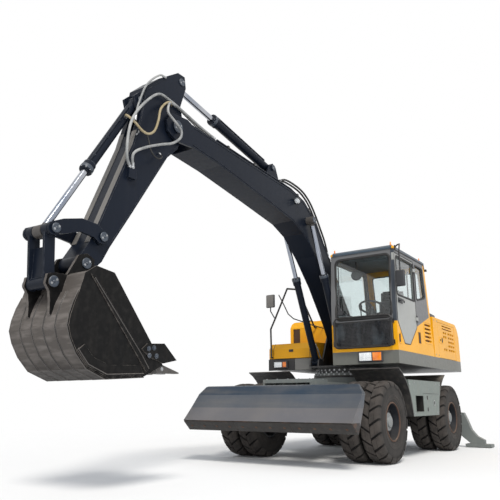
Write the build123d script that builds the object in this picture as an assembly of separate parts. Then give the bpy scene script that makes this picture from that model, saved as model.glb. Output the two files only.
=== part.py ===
from build123d import *
import math
import os

# Wheeled excavator, twin tyres, front blade, rear outriggers. Millimetres.
# Frame: front of the machine towards -Y, cab side towards +X, +Z up,
# origin on the ground under the slewing axis.

# Driving dimensions
OVERALL_WIDTH = 2500.0
WHEELBASE = 2700.0
TYRE_RADIUS = 528.0
TYRE_WIDTH = 278.0
TYRE_BORE = 254.0
LUG_HEIGHT = 26.0
LUGS_PER_ROW = 13
TWIN_PITCH = 320.0
KINGPIN_INSET = 216.0
HUB_BORE = 62.0
HUB_INSET = 101.0
TIE_ROD_REACH = 225.0
CHASSIS_HALF_WIDTH = 385.0
CHASSIS_NOSE = 650.0
CHASSIS_TAIL = 845.0
CHASSIS_TOP = 1050.0
FRAME_PLATE = 30.0
RING_RADIUS = 560.0
RING_BOTTOM = 1150.0
RING_HEIGHT = 72.0
DECK_BOTTOM = 1304.0
DECK_PLATE = 30.0
SKIRT_TOP = 1486.0
BOOM_CENTRE = -90.0
BOOM_WIDTH = 350.0
CYLINDER_SIDE = 70.0
BARREL_RADIUS = 54.0
ROD_RADIUS = 34.0
CAB_CLEARANCE = 77.0
MODULE_CLEARANCE = 65.0
CAB_FRONT = -1036.0
CAB_REAR = 573.0
CAB_TOP = 2962.0
ROOF_TOP = 3020.0
CAB_WALL = 42.0
BUCKET_WIDTH = 790.0
BUCKET_PLATE = 16.0
HOOD_TOP = 2140.0
COUNTERWEIGHT_REAR = 2160.0
PANEL = 36.0
RUNNING = 0.3
BEND_SWELL = 1.04
SIDE_GAP = 5.0

# Derived sizes
HALF_WIDTH = OVERALL_WIDTH / 2
FRONT_AXLE_Y = -WHEELBASE / 2
REAR_AXLE_Y = WHEELBASE / 2
AXLE_Z = TYRE_RADIUS
OUTER_TYRE_X = HALF_WIDTH - TYRE_WIDTH / 2
INNER_TYRE_X = OUTER_TYRE_X - TWIN_PITCH
KINGPIN_X = INNER_TYRE_X - KINGPIN_INSET
HUB_INNER_X = INNER_TYRE_X - HUB_INSET
CHASSIS_FRONT = FRONT_AXLE_Y - CHASSIS_NOSE
CHASSIS_REAR = REAR_AXLE_Y + CHASSIS_TAIL
CYLINDER_OFFSET = BOOM_WIDTH / 2 + CYLINDER_SIDE
CAB_INNER = BOOM_CENTRE + CYLINDER_OFFSET + CAB_CLEARANCE
MODULE_INNER = BOOM_CENTRE - CYLINDER_OFFSET - MODULE_CLEARANCE
CARCASS_RADIUS = TYRE_RADIUS - LUG_HEIGHT
ARCH_RADIUS = TYRE_RADIUS + 222.0
BOX_INNER_X = 470.0
TIE_Y = FRONT_AXLE_Y - TIE_ROD_REACH
TIE_Z = AXLE_Z + 30
TIE_X = KINGPIN_X - 15
OVER_AXLE = CHASSIS_TOP - 330.0
PEDESTAL_RADIUS = RING_RADIUS + 20
PEDESTAL_BOTTOM = CHASSIS_TOP - 40

# Pin centres in the side view, as (y, z)
BOOM_FOOT = (-60.0, 1760.0)
BOOM_CYLINDER_FOOT = (-500.0, 1396.0)
BOOM_CYLINDER_EYE = (-1470.0, 3450.0)
ARM_PIN = (-4475.0, 3788.0)
ARM_CYLINDER_BASE = (-2300.0, 4060.0)
ARM_CYLINDER_EYE = (-4362.0, 4428.0)
BUCKET_CYLINDER_BASE = (-4975.0, 3925.0)
BUCKET_PIN = (-5600.0, 1987.0)
IDLER_PIN = (-5445.0, 2268.0)
LINK_PIN = (-5985.0, 2222.0)
BUCKET_EAR_PIN = (-5948.0, 1762.0)
BLADE_PIN = (FRONT_AXLE_Y - 350.0, 560.0)
BLADE_CYLINDER_BASE = (FRONT_AXLE_Y - 510.0, 980.0)
BLADE_CYLINDER_EYE = (FRONT_AXLE_Y - 960.0, 620.0)

# Outrigger pins in the rear view, as (x, z)
LEG_PIN = (420.0, 420.0)
LEG_CYLINDER_BASE = (66.0, 1040.0)
LEG_CYLINDER_EYE = (636.0, 545.0)
LEG_Y = CHASSIS_REAR + 95.0
LEG_DEPTH = 120.0

os.makedirs("parts", exist_ok=True)


def write(node, solids):
    """Write one node, from one solid or a list of solids that lie apart."""
    shape = Compound(children=solids) if isinstance(solids, list) else solids
    shape.label = node
    export_step(shape, f"parts/{node}.step")


def plate_yz(points, x_low, x_high, radius=0.0):
    """A plate in the side view: (y, z) corners, thickness along X."""
    outline = Polygon(*points, align=None)
    if radius:
        outline = fillet(outline.vertices(), radius)
    return extrude(Plane.YZ.offset(x_low) * outline, amount=x_high - x_low, dir=(1, 0, 0))


def plate_xz(points, y_low, y_high, radius=0.0):
    """A plate in the front view: (x, z) corners, thickness along Y."""
    outline = Polygon(*points, align=None)
    if radius:
        outline = fillet(outline.vertices(), radius)
    return extrude(Plane.XZ.offset(-y_high) * outline, amount=y_high - y_low, dir=(0, -1, 0))


def plate_xy(points, z_low, z_high, radius=0.0):
    """A plate in plan: (x, y) corners, thickness along Z."""
    outline = Polygon(*points, align=None)
    if radius:
        outline = fillet(outline.vertices(), radius)
    return extrude(Plane.XY.offset(z_low) * outline, amount=z_high - z_low, dir=(0, 0, 1))


def block(x, y, z):
    """A box from (low, high) pairs along each axis."""
    size = (x[1] - x[0], y[1] - y[0], z[1] - z[0])
    middle = ((x[0] + x[1]) / 2, (y[0] + y[1]) / 2, (z[0] + z[1]) / 2)
    return Pos(*middle) * Box(*size)


def bar_x(pin, radius, x_low, x_high):
    """A round bar along X, centred on a (y, z) pin."""
    centre = ((x_low + x_high) / 2, pin[0], pin[1])
    return Pos(*centre) * Rot(0, 90, 0) * Cylinder(radius, x_high - x_low)


def bar_y(pin, radius, y_low, y_high):
    """A round bar along Y, centred on an (x, z) pin."""
    centre = (pin[0], (y_low + y_high) / 2, pin[1])
    return Pos(*centre) * Rot(90, 0, 0) * Cylinder(radius, y_high - y_low)


def bar_z(x, y, radius, z_low, z_high):
    """A round bar along Z."""
    return Pos(x, y, (z_low + z_high) / 2) * Cylinder(radius, z_high - z_low)


def rod_between(start, end, radius):
    """A round bar between two points."""
    axis = Vector(*end) - Vector(*start)
    plane = Plane(origin=start, z_dir=axis)
    return extrude(plane * Circle(radius), amount=axis.length)


def tube(points, radius):
    """A bent tube: straight runs with a slightly swollen ball at each bend."""
    solid = rod_between(points[0], points[1], radius)
    for start, end in zip(points[1:], points[2:]):
        solid += rod_between(start, end, radius)
        solid += Pos(*start) * Sphere(radius * BEND_SWELL)
    return solid


def along(start, end, share):
    """The point at a share of the way from start to end."""
    return tuple(a + (b - a) * share for a, b in zip(start, end))


def mirror_x(solid):
    return mirror(solid, about=Plane.YZ)


def side_point(pin, x):
    """A (y, z) pin as a point at x."""
    return (x, pin[0], pin[1])


def ahead(points):
    """(y, z) points from (distance ahead of the front axle, z) pairs."""
    return [(FRONT_AXLE_Y - distance, z) for distance, z in points]


def both_sides(low, high):
    """The (low, high) range along X on the cab side, and its mirror image."""
    return (low, high), (-high, -low)


def rectangle(x, z):
    """The four (x, z) corners of an upright opening, from (low, high) pairs."""
    return [(x[0], z[0]), (x[1], z[0]), (x[1], z[1]), (x[0], z[1])]


# Hydraulic cylinder: barrel with foot eye and gland, rod with its eye.
# The rod's pin stays in the rod's eye, and the lugs beside it end SIDE_GAP short.
def cylinder(foot, eye, share, retract, barrel_radius, rod_radius, eye_width, foot_pin, along_y=False):
    """Barrel and rod between two points.

    share is the barrel's part of the length, and retract the closing stroke.
    """
    bar = bar_y if along_y else bar_x
    middle = foot[1] if along_y else foot[0]
    low, high = middle - eye_width / 2, middle + eye_width / 2
    foot_2d = (foot[0], foot[2]) if along_y else (foot[1], foot[2])
    eye_2d = (eye[0], eye[2]) if along_y else (eye[1], eye[2])
    length = (Vector(*eye) - Vector(*foot)).length
    foot_radius = barrel_radius * 1.05
    bore_start = foot_radius * 1.2
    rod_start = bore_start + retract + SIDE_GAP
    gland = along(foot, eye, share)
    barrel = rod_between(along(foot, eye, foot_radius * 0.6 / length), gland, barrel_radius)
    barrel += rod_between(along(foot, eye, share - 0.05), gland, barrel_radius * 1.2)
    barrel += bar(foot_2d, foot_radius, low, high)
    barrel -= bar(foot_2d, foot_pin + RUNNING, low - 1, high + 1)
    bore_floor = along(foot, eye, bore_start / length)
    barrel -= rod_between(bore_floor, along(foot, eye, share + 0.01), rod_radius + RUNNING)
    rod = rod_between(along(foot, eye, rod_start / length), eye, rod_radius)
    rod += bar(eye_2d, rod_radius * 1.75, low, high)
    return barrel, rod


# Tyres: a ring of flat sides, each with one chevron lug fused on, copied to the eight places.
SHOULDER_SHARE = 0.90
SHOULDER_DROP = 70.0
LUG_INNER_X = 10.0
LUG_SHARE = 0.92


def tyre():
    half = TYRE_WIDTH / 2
    shoulder = half * SHOULDER_SHARE
    sides = 2 * LUGS_PER_ROW
    tread = CARCASS_RADIUS * math.cos(math.pi / sides)
    slices = (
        # x from, x to, radius from, radius to
        (-half, -shoulder, tread - SHOULDER_DROP, tread),
        (-shoulder, shoulder, tread, tread),
        (shoulder, half, tread, tread - SHOULDER_DROP),
    )
    parts = []
    for x0, x1, radius0, radius1 in slices:
        taper = math.degrees(math.atan((radius0 - radius1) / (x1 - x0)))
        profile = Plane.YZ.offset(x0) * RegularPolygon(radius0, sides, major_radius=False)
        parts.append(extrude(profile, amount=x1 - x0, dir=(1, 0, 0), taper=taper))
    ring = parts[0] + parts[1] + parts[2]
    bore = Plane.YZ.offset(-half) * RegularPolygon(TYRE_BORE, sides, major_radius=False)
    ring -= extrude(bore, amount=TYRE_WIDTH, dir=(1, 0, 0))
    reach = tread * math.tan(math.pi / sides) * LUG_SHARE
    lug_top = math.sqrt(TYRE_RADIUS ** 2 - reach ** 2)
    outer_x = shoulder - 3
    for side, first in ((-1, 0.5), (1, 1.5)):
        inner = [(side * LUG_INNER_X, -reach), (side * LUG_INNER_X, reach * 0.1)]
        outer = [(side * outer_x, reach), (side * outer_x, -reach * 0.1)]
        outline = Polygon(*inner, *outer, align=None)
        lug = extrude(Plane.XY.offset(tread - 20) * outline, amount=lug_top - tread + 20)
        for i in range(LUGS_PER_ROW):
            ring += Rot((2 * i + first) * 360 / sides, 0, 0) * lug
    return ring


def rim(side):
    """Twin rims, spacer and hub as one turned piece; side is +1 on the cab side."""
    outer_edge = OUTER_TYRE_X + TYRE_WIDTH * 0.40
    inner_edge = INNER_TYRE_X - TYRE_WIDTH * 0.40
    disc = OUTER_TYRE_X - 30
    radius = TYRE_BORE - RUNNING
    section = [
        (inner_edge, radius),
        (outer_edge, radius),
        (outer_edge, radius - 22),
        (disc + 14, radius - 34),
        (disc + 14, 150),
        (disc + 70, 150),
        (disc + 84, 118),
        (disc + 84, 0),
        (INNER_TYRE_X + 20, 0),
        (INNER_TYRE_X + 20, HUB_BORE),
        (HUB_INNER_X, HUB_BORE),
        (HUB_INNER_X, 138),
        (disc - 14, 150),
        (disc - 14, radius - 34),
        (inner_edge, radius - 22),
    ]
    turned = revolve(Plane.XY * Polygon(*section, align=None), Axis.X)
    return turned if side > 0 else mirror_x(turned)


WHEELS = (
    # name, side, axle y
    ("front_left", 1, FRONT_AXLE_Y),
    ("front_right", -1, FRONT_AXLE_Y),
    ("rear_left", 1, REAR_AXLE_Y),
    ("rear_right", -1, REAR_AXLE_Y),
)
one_tyre = tyre()
for name, side, y in WHEELS:
    pair = [Pos(side * x, y, AXLE_Z) * one_tyre for x in (OUTER_TYRE_X, INNER_TYRE_X)]
    write("tyres_" + name, pair)
    write("rims_" + name, Pos(0, y, AXLE_Z) * rim(side))


# Axles: beam with differential; the front one ends in forks for the kingpins.
SPINDLE_END = INNER_TYRE_X + 12
FORK_HALF_HEIGHT = 105.0
KINGPIN_RADIUS = 28.0
NOSE_LENGTH = 240.0


def axle_beam(y, half_length):
    """A turned beam with the differential bowl, and the pinion nose towards the gearbox."""
    section = [
        (-half_length, 0), (-half_length, 78), (-300, 78), (-220, 112), (-130, 166), (130, 166), (220, 112),
        (300, 78), (half_length, 78), (half_length, 0),
    ]
    beam = revolve(Plane.XY * Polygon(*section, align=None), Axis.X)
    beam += bar_y((0, -20), 66, *sorted((0, -math.copysign(NOSE_LENGTH, y))))
    return Pos(0, y, AXLE_Z) * beam


front_axle = axle_beam(FRONT_AXLE_Y, KINGPIN_X - 105)
for side in (-1, 1):
    x0, x1 = sorted((side * (KINGPIN_X - 130), side * (KINGPIN_X - 78)))
    front_axle += block((x0, x1), (FRONT_AXLE_Y - 80, FRONT_AXLE_Y + 80),
                        (AXLE_Z - FORK_HALF_HEIGHT - 40, AXLE_Z + FORK_HALF_HEIGHT + 40))
    x0, x1 = sorted((side * (KINGPIN_X - 100), side * (KINGPIN_X + 50)))
    for z in (AXLE_Z - FORK_HALF_HEIGHT - 40, AXLE_Z + FORK_HALF_HEIGHT):
        front_axle += block((x0, x1), (FRONT_AXLE_Y - 60, FRONT_AXLE_Y + 60), (z, z + 40))
    front_axle -= bar_z(side * KINGPIN_X, FRONT_AXLE_Y, KINGPIN_RADIUS + RUNNING, AXLE_Z - 200, AXLE_Z + 200)
front_axle += block((-110, 110), (FRONT_AXLE_Y - 60, FRONT_AXLE_Y + 60), (AXLE_Z + 100, OVER_AXLE))
front_axle += block((-60, 60), (TIE_Y, FRONT_AXLE_Y - 140), (TIE_Z - 20, TIE_Z + 20))
front_axle += bar_x((TIE_Y, TIE_Z), 45, -190, 190)
front_axle -= bar_x((TIE_Y, TIE_Z), 20 + RUNNING, -200, 200)
write("front_axle", front_axle)

rear_axle = axle_beam(REAR_AXLE_Y, HUB_INNER_X - 20)
for side in (-1, 1):
    spindle = sorted((side * (HUB_INNER_X - 90), side * SPINDLE_END))
    rear_axle += bar_x((REAR_AXLE_Y, AXLE_Z), HUB_BORE - RUNNING, *spindle)
    mount_y = (REAR_AXLE_Y - 70, REAR_AXLE_Y + 70)
    rear_axle += block(sorted((side * 260, side * 360)), mount_y, (AXLE_Z, OVER_AXLE))
write("rear_axle", rear_axle)


def knuckle():
    body = block((KINGPIN_X - 50, KINGPIN_X + 60), (-62, 62), (-FORK_HALF_HEIGHT + 4, FORK_HALF_HEIGHT - 4))
    body += bar_x((0, 0), HUB_BORE - RUNNING, KINGPIN_X, SPINDLE_END)
    body += bar_x((0, 0), 100, KINGPIN_X + 50, HUB_INNER_X - 10)
    body += bar_z(KINGPIN_X, 0, KINGPIN_RADIUS, -FORK_HALF_HEIGHT - 36, FORK_HALF_HEIGHT + 36)
    body += block((TIE_X - 20, TIE_X + 20), (-TIE_ROD_REACH - 28, -40), (-29, 1))
    return Pos(0, FRONT_AXLE_Y, AXLE_Z) * body


left_knuckle = knuckle()
write("knuckle_left", left_knuckle)
write("knuckle_right", mirror_x(left_knuckle))

tie_rod = bar_x((TIE_Y, TIE_Z), 20, -TIE_X, TIE_X)
for side in (-1, 1):
    tie_rod += bar_z(side * TIE_X, TIE_Y, 34, TIE_Z - 24, TIE_Z + 24)
write("steering_rod", tie_rod)


# Chassis: box spine, open nose for the blade gear, round pedestal under the slewing ring.
main_bottom = 540.0
nose_top = CHASSIS_TOP + 30.0
spine = plate_yz(
    [
        (FRONT_AXLE_Y - 210, OVER_AXLE), (FRONT_AXLE_Y + 220, OVER_AXLE), (FRONT_AXLE_Y + 350, main_bottom),
        (REAR_AXLE_Y - 350, main_bottom), (REAR_AXLE_Y - 220, OVER_AXLE), (REAR_AXLE_Y + 210, OVER_AXLE),
        (REAR_AXLE_Y + 350, main_bottom), (CHASSIS_REAR, main_bottom), (CHASSIS_REAR, CHASSIS_TOP),
        (FRONT_AXLE_Y - 210, CHASSIS_TOP),
    ],
    -CHASSIS_HALF_WIDTH, CHASSIS_HALF_WIDTH,
)
nose_side = ahead([
    (250, OVER_AXLE), (290, 500), (420, 500), (450, 640), (640, 760), (CHASSIS_NOSE, nose_top),
    (250, nose_top), (190, CHASSIS_TOP), (190, OVER_AXLE),
])
for x in both_sides(CHASSIS_HALF_WIDTH - FRAME_PLATE, CHASSIS_HALF_WIDTH):
    spine += plate_yz(nose_side, *x)
for x in both_sides(285, CHASSIS_HALF_WIDTH):
    spine += bar_x(BLADE_PIN, 30, *x)
spine += block((-CHASSIS_HALF_WIDTH, CHASSIS_HALF_WIDTH), (CHASSIS_FRONT, FRONT_AXLE_Y - 190),
               (CHASSIS_TOP - 20, nose_top))
rib = ahead([(210, 900), (210, CHASSIS_TOP), (580, CHASSIS_TOP), (550, 940)])
for x in (-260, -110, 110, 260):
    spine += plate_yz(rib, x - 12, x + 12)
for side in (-1, 1):
    spine += bar_x(BLADE_CYLINDER_BASE, 26, *sorted((side * 100, side * 270)))
spine += bar_z(0, 0, PEDESTAL_RADIUS, PEDESTAL_BOTTOM, RING_BOTTOM)
spine += bar_z(0, 0, RING_RADIUS, RING_BOTTOM - 10, RING_BOTTOM + RING_HEIGHT)
spine -= bar_z(0, 0, RING_RADIUS - 110, RING_BOTTOM, RING_BOTTOM + RING_HEIGHT + 1)
write("chassis", spine)

SHAFT_END = NOSE_LENGTH + SIDE_GAP
gearbox = block((-170, 170), (-260, 200), (360, main_bottom))
gearbox += rod_between((0, -240, 410), (0, FRONT_AXLE_Y + SHAFT_END, AXLE_Z - 20), 38)
gearbox += rod_between((0, 180, 410), (0, REAR_AXLE_Y - SHAFT_END, AXLE_Z - 20), 38)
write("drive_line", gearbox)

# Step boxes between the wheels, with mudguards struck about the wheel centres.
BOX_FRONT_TOP = (FRONT_AXLE_Y + 602.0, 1089.0)
BOX_FRONT_BOTTOM = (FRONT_AXLE_Y + 753.0, 580.0)
BOX_REAR_BOTTOM = (REAR_AXLE_Y - 777.0, 583.0)
BOX_REAR_TOP = (REAR_AXLE_Y - 603.0, 1094.0)
STEP_FRONT = BOX_FRONT_BOTTOM[0] + 124.0
STEP_REAR = -0.05 * WHEELBASE
GUARD_PLATE = 14.0
LASHING_HOLE = (0.136 * WHEELBASE, 764.0)
LASHING_RADIUS = 30.0
LASHING_PLATE = 12.0
BOX_CARRIER = 870.0


def arch(y, from_angle, to_angle):
    """A mudguard strip: (y, z) points on the arch circle and back again inside it."""
    outer, inner = [], []
    outer_radius = ARCH_RADIUS + GUARD_PLATE
    for i in range(6):
        a = math.radians(from_angle + (to_angle - from_angle) * i / 5)
        outer.append((y + outer_radius * math.cos(a), AXLE_Z + outer_radius * math.sin(a)))
        inner.append((y + ARCH_RADIUS * math.cos(a), AXLE_Z + ARCH_RADIUS * math.sin(a)))
    return outer + inner[::-1]


def step_box():
    box_side = [BOX_FRONT_BOTTOM, BOX_REAR_BOTTOM, BOX_REAR_TOP, BOX_FRONT_TOP]
    shell = plate_yz(box_side, BOX_INNER_X, HALF_WIDTH)
    shell -= block((HALF_WIDTH - 190, HALF_WIDTH + 1), (STEP_FRONT, STEP_REAR), (643, 866))
    shell += plate_yz(arch(FRONT_AXLE_Y, 26, 69), BOX_INNER_X + 30, HALF_WIDTH)
    shell += plate_yz(arch(REAR_AXLE_Y, 154, 115.5), BOX_INNER_X + 30, HALF_WIDTH)
    shell -= bar_x(LASHING_HOLE, LASHING_RADIUS, HALF_WIDTH - LASHING_PLATE - 1, HALF_WIDTH + 1)
    shell -= bar_x(LASHING_HOLE, LASHING_RADIUS * 1.5, BOX_INNER_X - 1, HALF_WIDTH - LASHING_PLATE)
    shell -= bar_z(0, 0, PEDESTAL_RADIUS + SIDE_GAP, PEDESTAL_BOTTOM - SIDE_GAP, RING_BOTTOM)
    for y in (FRONT_AXLE_Y + BOX_CARRIER, REAR_AXLE_Y - BOX_CARRIER):
        shell += block((CHASSIS_HALF_WIDTH, BOX_INNER_X), (y - 60, y + 60), (700, 1000))
    return shell


left_box = step_box()
write("step_box_left", left_box)
write("step_box_right", mirror_x(left_box))

# Blade: closed box section with a concave face, on two arms with two cylinders.
blade_section = ahead([
    (881, 995), (912, 880), (961, 743), (1140, 418), (1166, 412), (1310, 541), (1147, 706), (1000, 872),
    (918, 985),
])
blade_arm = ahead([(290, 500), (420, 490), (1110, 530), (1050, 640), (890, 700), (410, 640), (290, 620)])
rod_lug = ahead([(915, 670), (930, 560), (990, 560), (1110, 480), (980, 740)])
blade = plate_yz(blade_section, -HALF_WIDTH, HALF_WIDTH)
for side in (-1, 1):
    beside = side * (HALF_WIDTH + 10)
    corner = [(side * (HALF_WIDTH - 95), 1010), (beside, 1010), (beside, 868)]
    blade -= plate_xz(corner, FRONT_AXLE_Y - 1350, FRONT_AXLE_Y - 850)
    blade += plate_yz(blade_arm, *sorted((side * 295, side * 345)), radius=15)
    blade -= bar_x(BLADE_PIN, 30 + RUNNING, -400, 400)
    for lug_x in (side * 128, side * 242):
        blade += plate_yz(rod_lug, lug_x - 12, lug_x + 12)
write("blade", blade)

barrels, rods = [], []
for x in (-185, 185):
    barrel, rod = cylinder(side_point(BLADE_CYLINDER_BASE, x), side_point(BLADE_CYLINDER_EYE, x),
                           0.70, 15, 44, 28, 80, 26)
    barrels.append(barrel)
    rods.append(rod)
write("blade_barrels", barrels)
write("blade_rods", rods)

# Rear outriggers: two legs on a plate bracket across the chassis, each with its own cylinder.
bracket_face = [
    (-520, 330), (520, 330), (520, 520), (300, 1110), (-300, 1110), (-520, 520),
]
rear_plate = LEG_Y + LEG_DEPTH / 2 + SIDE_GAP
bracket = plate_xz(bracket_face, CHASSIS_REAR, CHASSIS_REAR + 24)
bracket += plate_xz(bracket_face, rear_plate, rear_plate + 24)
bracket += block((-40, 40), (CHASSIS_REAR, rear_plate + 10), (330, 520))
for side in (-1, 1):
    bracket += bar_y((side * LEG_PIN[0], LEG_PIN[1]), 34, CHASSIS_REAR, rear_plate + 10)
    bracket += bar_y((side * LEG_CYLINDER_BASE[0], LEG_CYLINDER_BASE[1]), 22, CHASSIS_REAR, rear_plate + 10)
write("outrigger_frame", bracket)

FOOT_TOP = 60.0
FOOT_BOTTOM = 10.0


def outrigger():
    y0, y1 = LEG_Y - LEG_DEPTH / 2, LEG_Y + LEG_DEPTH / 2
    leg = plate_xz(
        [(350, 420), (430, 335), (1114, 192), (1290, 45), (1500, 45), (1500, 130), (1380, 190), (1290, 300),
         (1230, 470), (1178, 594), (700, 610), (420, 500)], y0, y1)
    leg += bar_y(LEG_PIN, 88, y0, y1)
    leg += bar_y(LEG_CYLINDER_EYE, 52, y0, y1)
    leg -= bar_y(LEG_PIN, 34 + RUNNING, y0 - 1, y1 + 1)
    slot = block((LEG_CYLINDER_EYE[0] - 130, LEG_CYLINDER_EYE[0] + 190), (LEG_Y - 45, LEG_Y + 45),
                 (LEG_CYLINDER_EYE[1] - 130, LEG_CYLINDER_EYE[1] + 120))
    leg -= slot
    leg += block((1170, 1610), (CHASSIS_REAR + 25, CHASSIS_REAR + 250), (FOOT_BOTTOM, FOOT_TOP))
    gusset = [(y1 + 80, FOOT_TOP - 5), (y1 + 80, FOOT_TOP + 8), (y1 - 10, 150), (y1 - 10, FOOT_TOP - 5)]
    leg += plate_yz(gusset, 1330, 1350)
    return leg


left_leg = outrigger()
write("outrigger_left", left_leg)
write("outrigger_right", mirror_x(left_leg))
leg_barrel, leg_rod = cylinder(
    (LEG_CYLINDER_BASE[0], LEG_Y, LEG_CYLINDER_BASE[1]), (LEG_CYLINDER_EYE[0], LEG_Y, LEG_CYLINDER_EYE[1]),
    0.52, 315, 32, 18, 80, 22, along_y=True)
write("outrigger_barrel_left", leg_barrel)
write("outrigger_barrel_right", mirror_x(leg_barrel))
write("outrigger_rod_left", leg_rod)
write("outrigger_rod_right", mirror_x(leg_rod))

# Platform: deck plate, side skirts and the twin webs that carry the boom.
BODY_REAR = 1845.0
ENGINE_BOTTOM = 1480.0
DOOR_FRONT = 850.0
DOOR_REAR = 1800.0
PIVOT_INSET = PANEL / 2
PIVOT_PIN = 8.0
PIVOT_X = HALF_WIDTH - PIVOT_INSET
PIVOT_Y = DOOR_REAR - PIVOT_INSET
COVER_BOX_FRONT = 620.0
COVER_BOX_REAR = 1150.0
EYE_HALF = 58.0
LUG_PLATE = 20.0
MODULE_FRONT = -465.0
LUG_FRONT = -590.0
deck = plate_xy(
    [(CAB_INNER, CAB_FRONT), (HALF_WIDTH, CAB_FRONT), (HALF_WIDTH, BODY_REAR), (-HALF_WIDTH, BODY_REAR),
     (-HALF_WIDTH, MODULE_FRONT), (MODULE_INNER, MODULE_FRONT), (MODULE_INNER + 15, LUG_FRONT),
     (CAB_INNER - 27, LUG_FRONT)],
    DECK_BOTTOM, DECK_BOTTOM + DECK_PLATE)
skirt_bottom = DECK_BOTTOM + DECK_PLATE
deck += block((HALF_WIDTH - 60, HALF_WIDTH), (CAB_FRONT, BODY_REAR), (skirt_bottom, SKIRT_TOP))
deck += block((-HALF_WIDTH, -HALF_WIDTH + 60), (MODULE_FRONT, BODY_REAR), (skirt_bottom, SKIRT_TOP))
deck += block((CAB_INNER, HALF_WIDTH), (CAB_FRONT, CAB_FRONT + 60), (skirt_bottom, SKIRT_TOP))
deck += block((CAB_INNER, CAB_INNER + 20), (CAB_FRONT, CAB_REAR), (skirt_bottom, SKIRT_TOP))
web = [(-400, skirt_bottom), (-360, 1500), (-180, 1850), (60, 1850), (330, 1560), (600, ENGINE_BOTTOM),
       (1500, ENGINE_BOTTOM), (1500, skirt_bottom)]
web_inner = BOOM_WIDTH / 2 + SIDE_GAP
WEB_PLATE = 24.0
foot_lug = [(-585, skirt_bottom), (-560, 1430), (-500, 1456), (-430, 1430), (-370, skirt_bottom)]
for side in (-1, 1):
    x0, x1 = sorted((BOOM_CENTRE + side * web_inner, BOOM_CENTRE + side * (web_inner + WEB_PLATE)))
    deck += plate_yz(web, x0, x1)
    lug_inner = CYLINDER_OFFSET - EYE_HALF - SIDE_GAP
    lug_outer = CYLINDER_OFFSET + EYE_HALF + SIDE_GAP
    for offset in (lug_inner - LUG_PLATE, lug_outer):
        x0, x1 = sorted((BOOM_CENTRE + side * offset, BOOM_CENTRE + side * (offset + LUG_PLATE)))
        deck += plate_yz(foot_lug, x0, x1)
    deck += bar_x(BOOM_CYLINDER_FOOT, 30, *sorted(
        (BOOM_CENTRE + side * (lug_inner - LUG_PLATE), BOOM_CENTRE + side * (lug_outer + LUG_PLATE))))
    deck += bar_z(side * PIVOT_X, PIVOT_Y, PIVOT_PIN, SKIRT_TOP - 10, SKIRT_TOP + 34)
deck += bar_x(BOOM_FOOT, 40, BOOM_CENTRE - web_inner - WEB_PLATE, BOOM_CENTRE + web_inner + WEB_PLATE)
upper_race = bar_z(0, 0, RING_RADIUS - 25, RING_BOTTOM + RING_HEIGHT + RUNNING, DECK_BOTTOM)
deck += upper_race - bar_z(0, 0, RING_RADIUS - 110, RING_BOTTOM, DECK_BOTTOM)
write("platform", deck)

corner_y = COUNTERWEIGHT_REAR - 90
right_corner, left_corner = (-HALF_WIDTH, corner_y), (HALF_WIDTH, corner_y)
counterweight_plan = make_face(
    Polyline(right_corner, (-HALF_WIDTH, BODY_REAR), (HALF_WIDTH, BODY_REAR), left_corner)
    + ThreePointArc(left_corner, (0, COUNTERWEIGHT_REAR + 20), right_corner))
counterweight = extrude(Plane.XY.offset(DECK_BOTTOM) * counterweight_plan, amount=HOOD_TOP + 30 - DECK_BOTTOM)
counterweight_side = [
    (BODY_REAR, DECK_BOTTOM), (COUNTERWEIGHT_REAR - 40, DECK_BOTTOM),
    (COUNTERWEIGHT_REAR + 20, DECK_BOTTOM + 60),
    (COUNTERWEIGHT_REAR + 20, 1500), (COUNTERWEIGHT_REAR - 60, 1870), (COUNTERWEIGHT_REAR - 165, 2060),
    (COUNTERWEIGHT_REAR - 260, HOOD_TOP - 10), (BODY_REAR, HOOD_TOP),
]
counterweight &= plate_yz(counterweight_side, -HALF_WIDTH, HALF_WIDTH)
write("counterweight", counterweight)

# Engine cover: top, front wall and posts, open at the sides for the doors.
cover = block((-HALF_WIDTH, HALF_WIDTH), (CAB_REAR + 30, BODY_REAR), (SKIRT_TOP, HOOD_TOP))
cover -= block((-HALF_WIDTH + PANEL, HALF_WIDTH - PANEL), (CAB_REAR + 30 + PANEL, BODY_REAR - PANEL),
               (SKIRT_TOP - 1, HOOD_TOP - PANEL))
for side in (-1, 1):
    cover -= block(sorted((side * (HALF_WIDTH - PANEL - 1), side * (HALF_WIDTH + 1))),
                   (DOOR_FRONT - SIDE_GAP, DOOR_REAR + SIDE_GAP), (SKIRT_TOP - 1, 2080))
    cover += bar_z(side * PIVOT_X, PIVOT_Y, PIVOT_PIN, 2045, 2081)
cover += block((-420, 260), (COVER_BOX_FRONT, COVER_BOX_REAR), (HOOD_TOP - 5, HOOD_TOP + 75))
cover -= block((BOOM_CENTRE - web_inner - WEB_PLATE - 6, BOOM_CENTRE + web_inner + WEB_PLATE + 6),
               (CAB_REAR, BODY_REAR + 1), (SKIRT_TOP - 1, 1600))
write("engine_cover", cover)
engine = block((-420, 420), (800, 1490), (ENGINE_BOTTOM, 1960))
write("engine", engine)
VENT_GAP = 26.0
DOOR_VENTS = (
    # front y, middle z, number in the row, width, height
    (1080, 2035, 1, 560, 18),
    (1080, 1990, 1, 560, 18),
    (1130, 1925, 2, 80, 34),
    (1130, 1855, 2, 80, 34),
    (1130, 1645, 2, 80, 34),
    (1400, 1925, 3, 96, 34),
    (1400, 1855, 3, 96, 34),
    (1400, 1785, 3, 96, 34),
    (1400, 1715, 3, 96, 34),
    (1400, 1645, 3, 96, 34),
)
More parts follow.
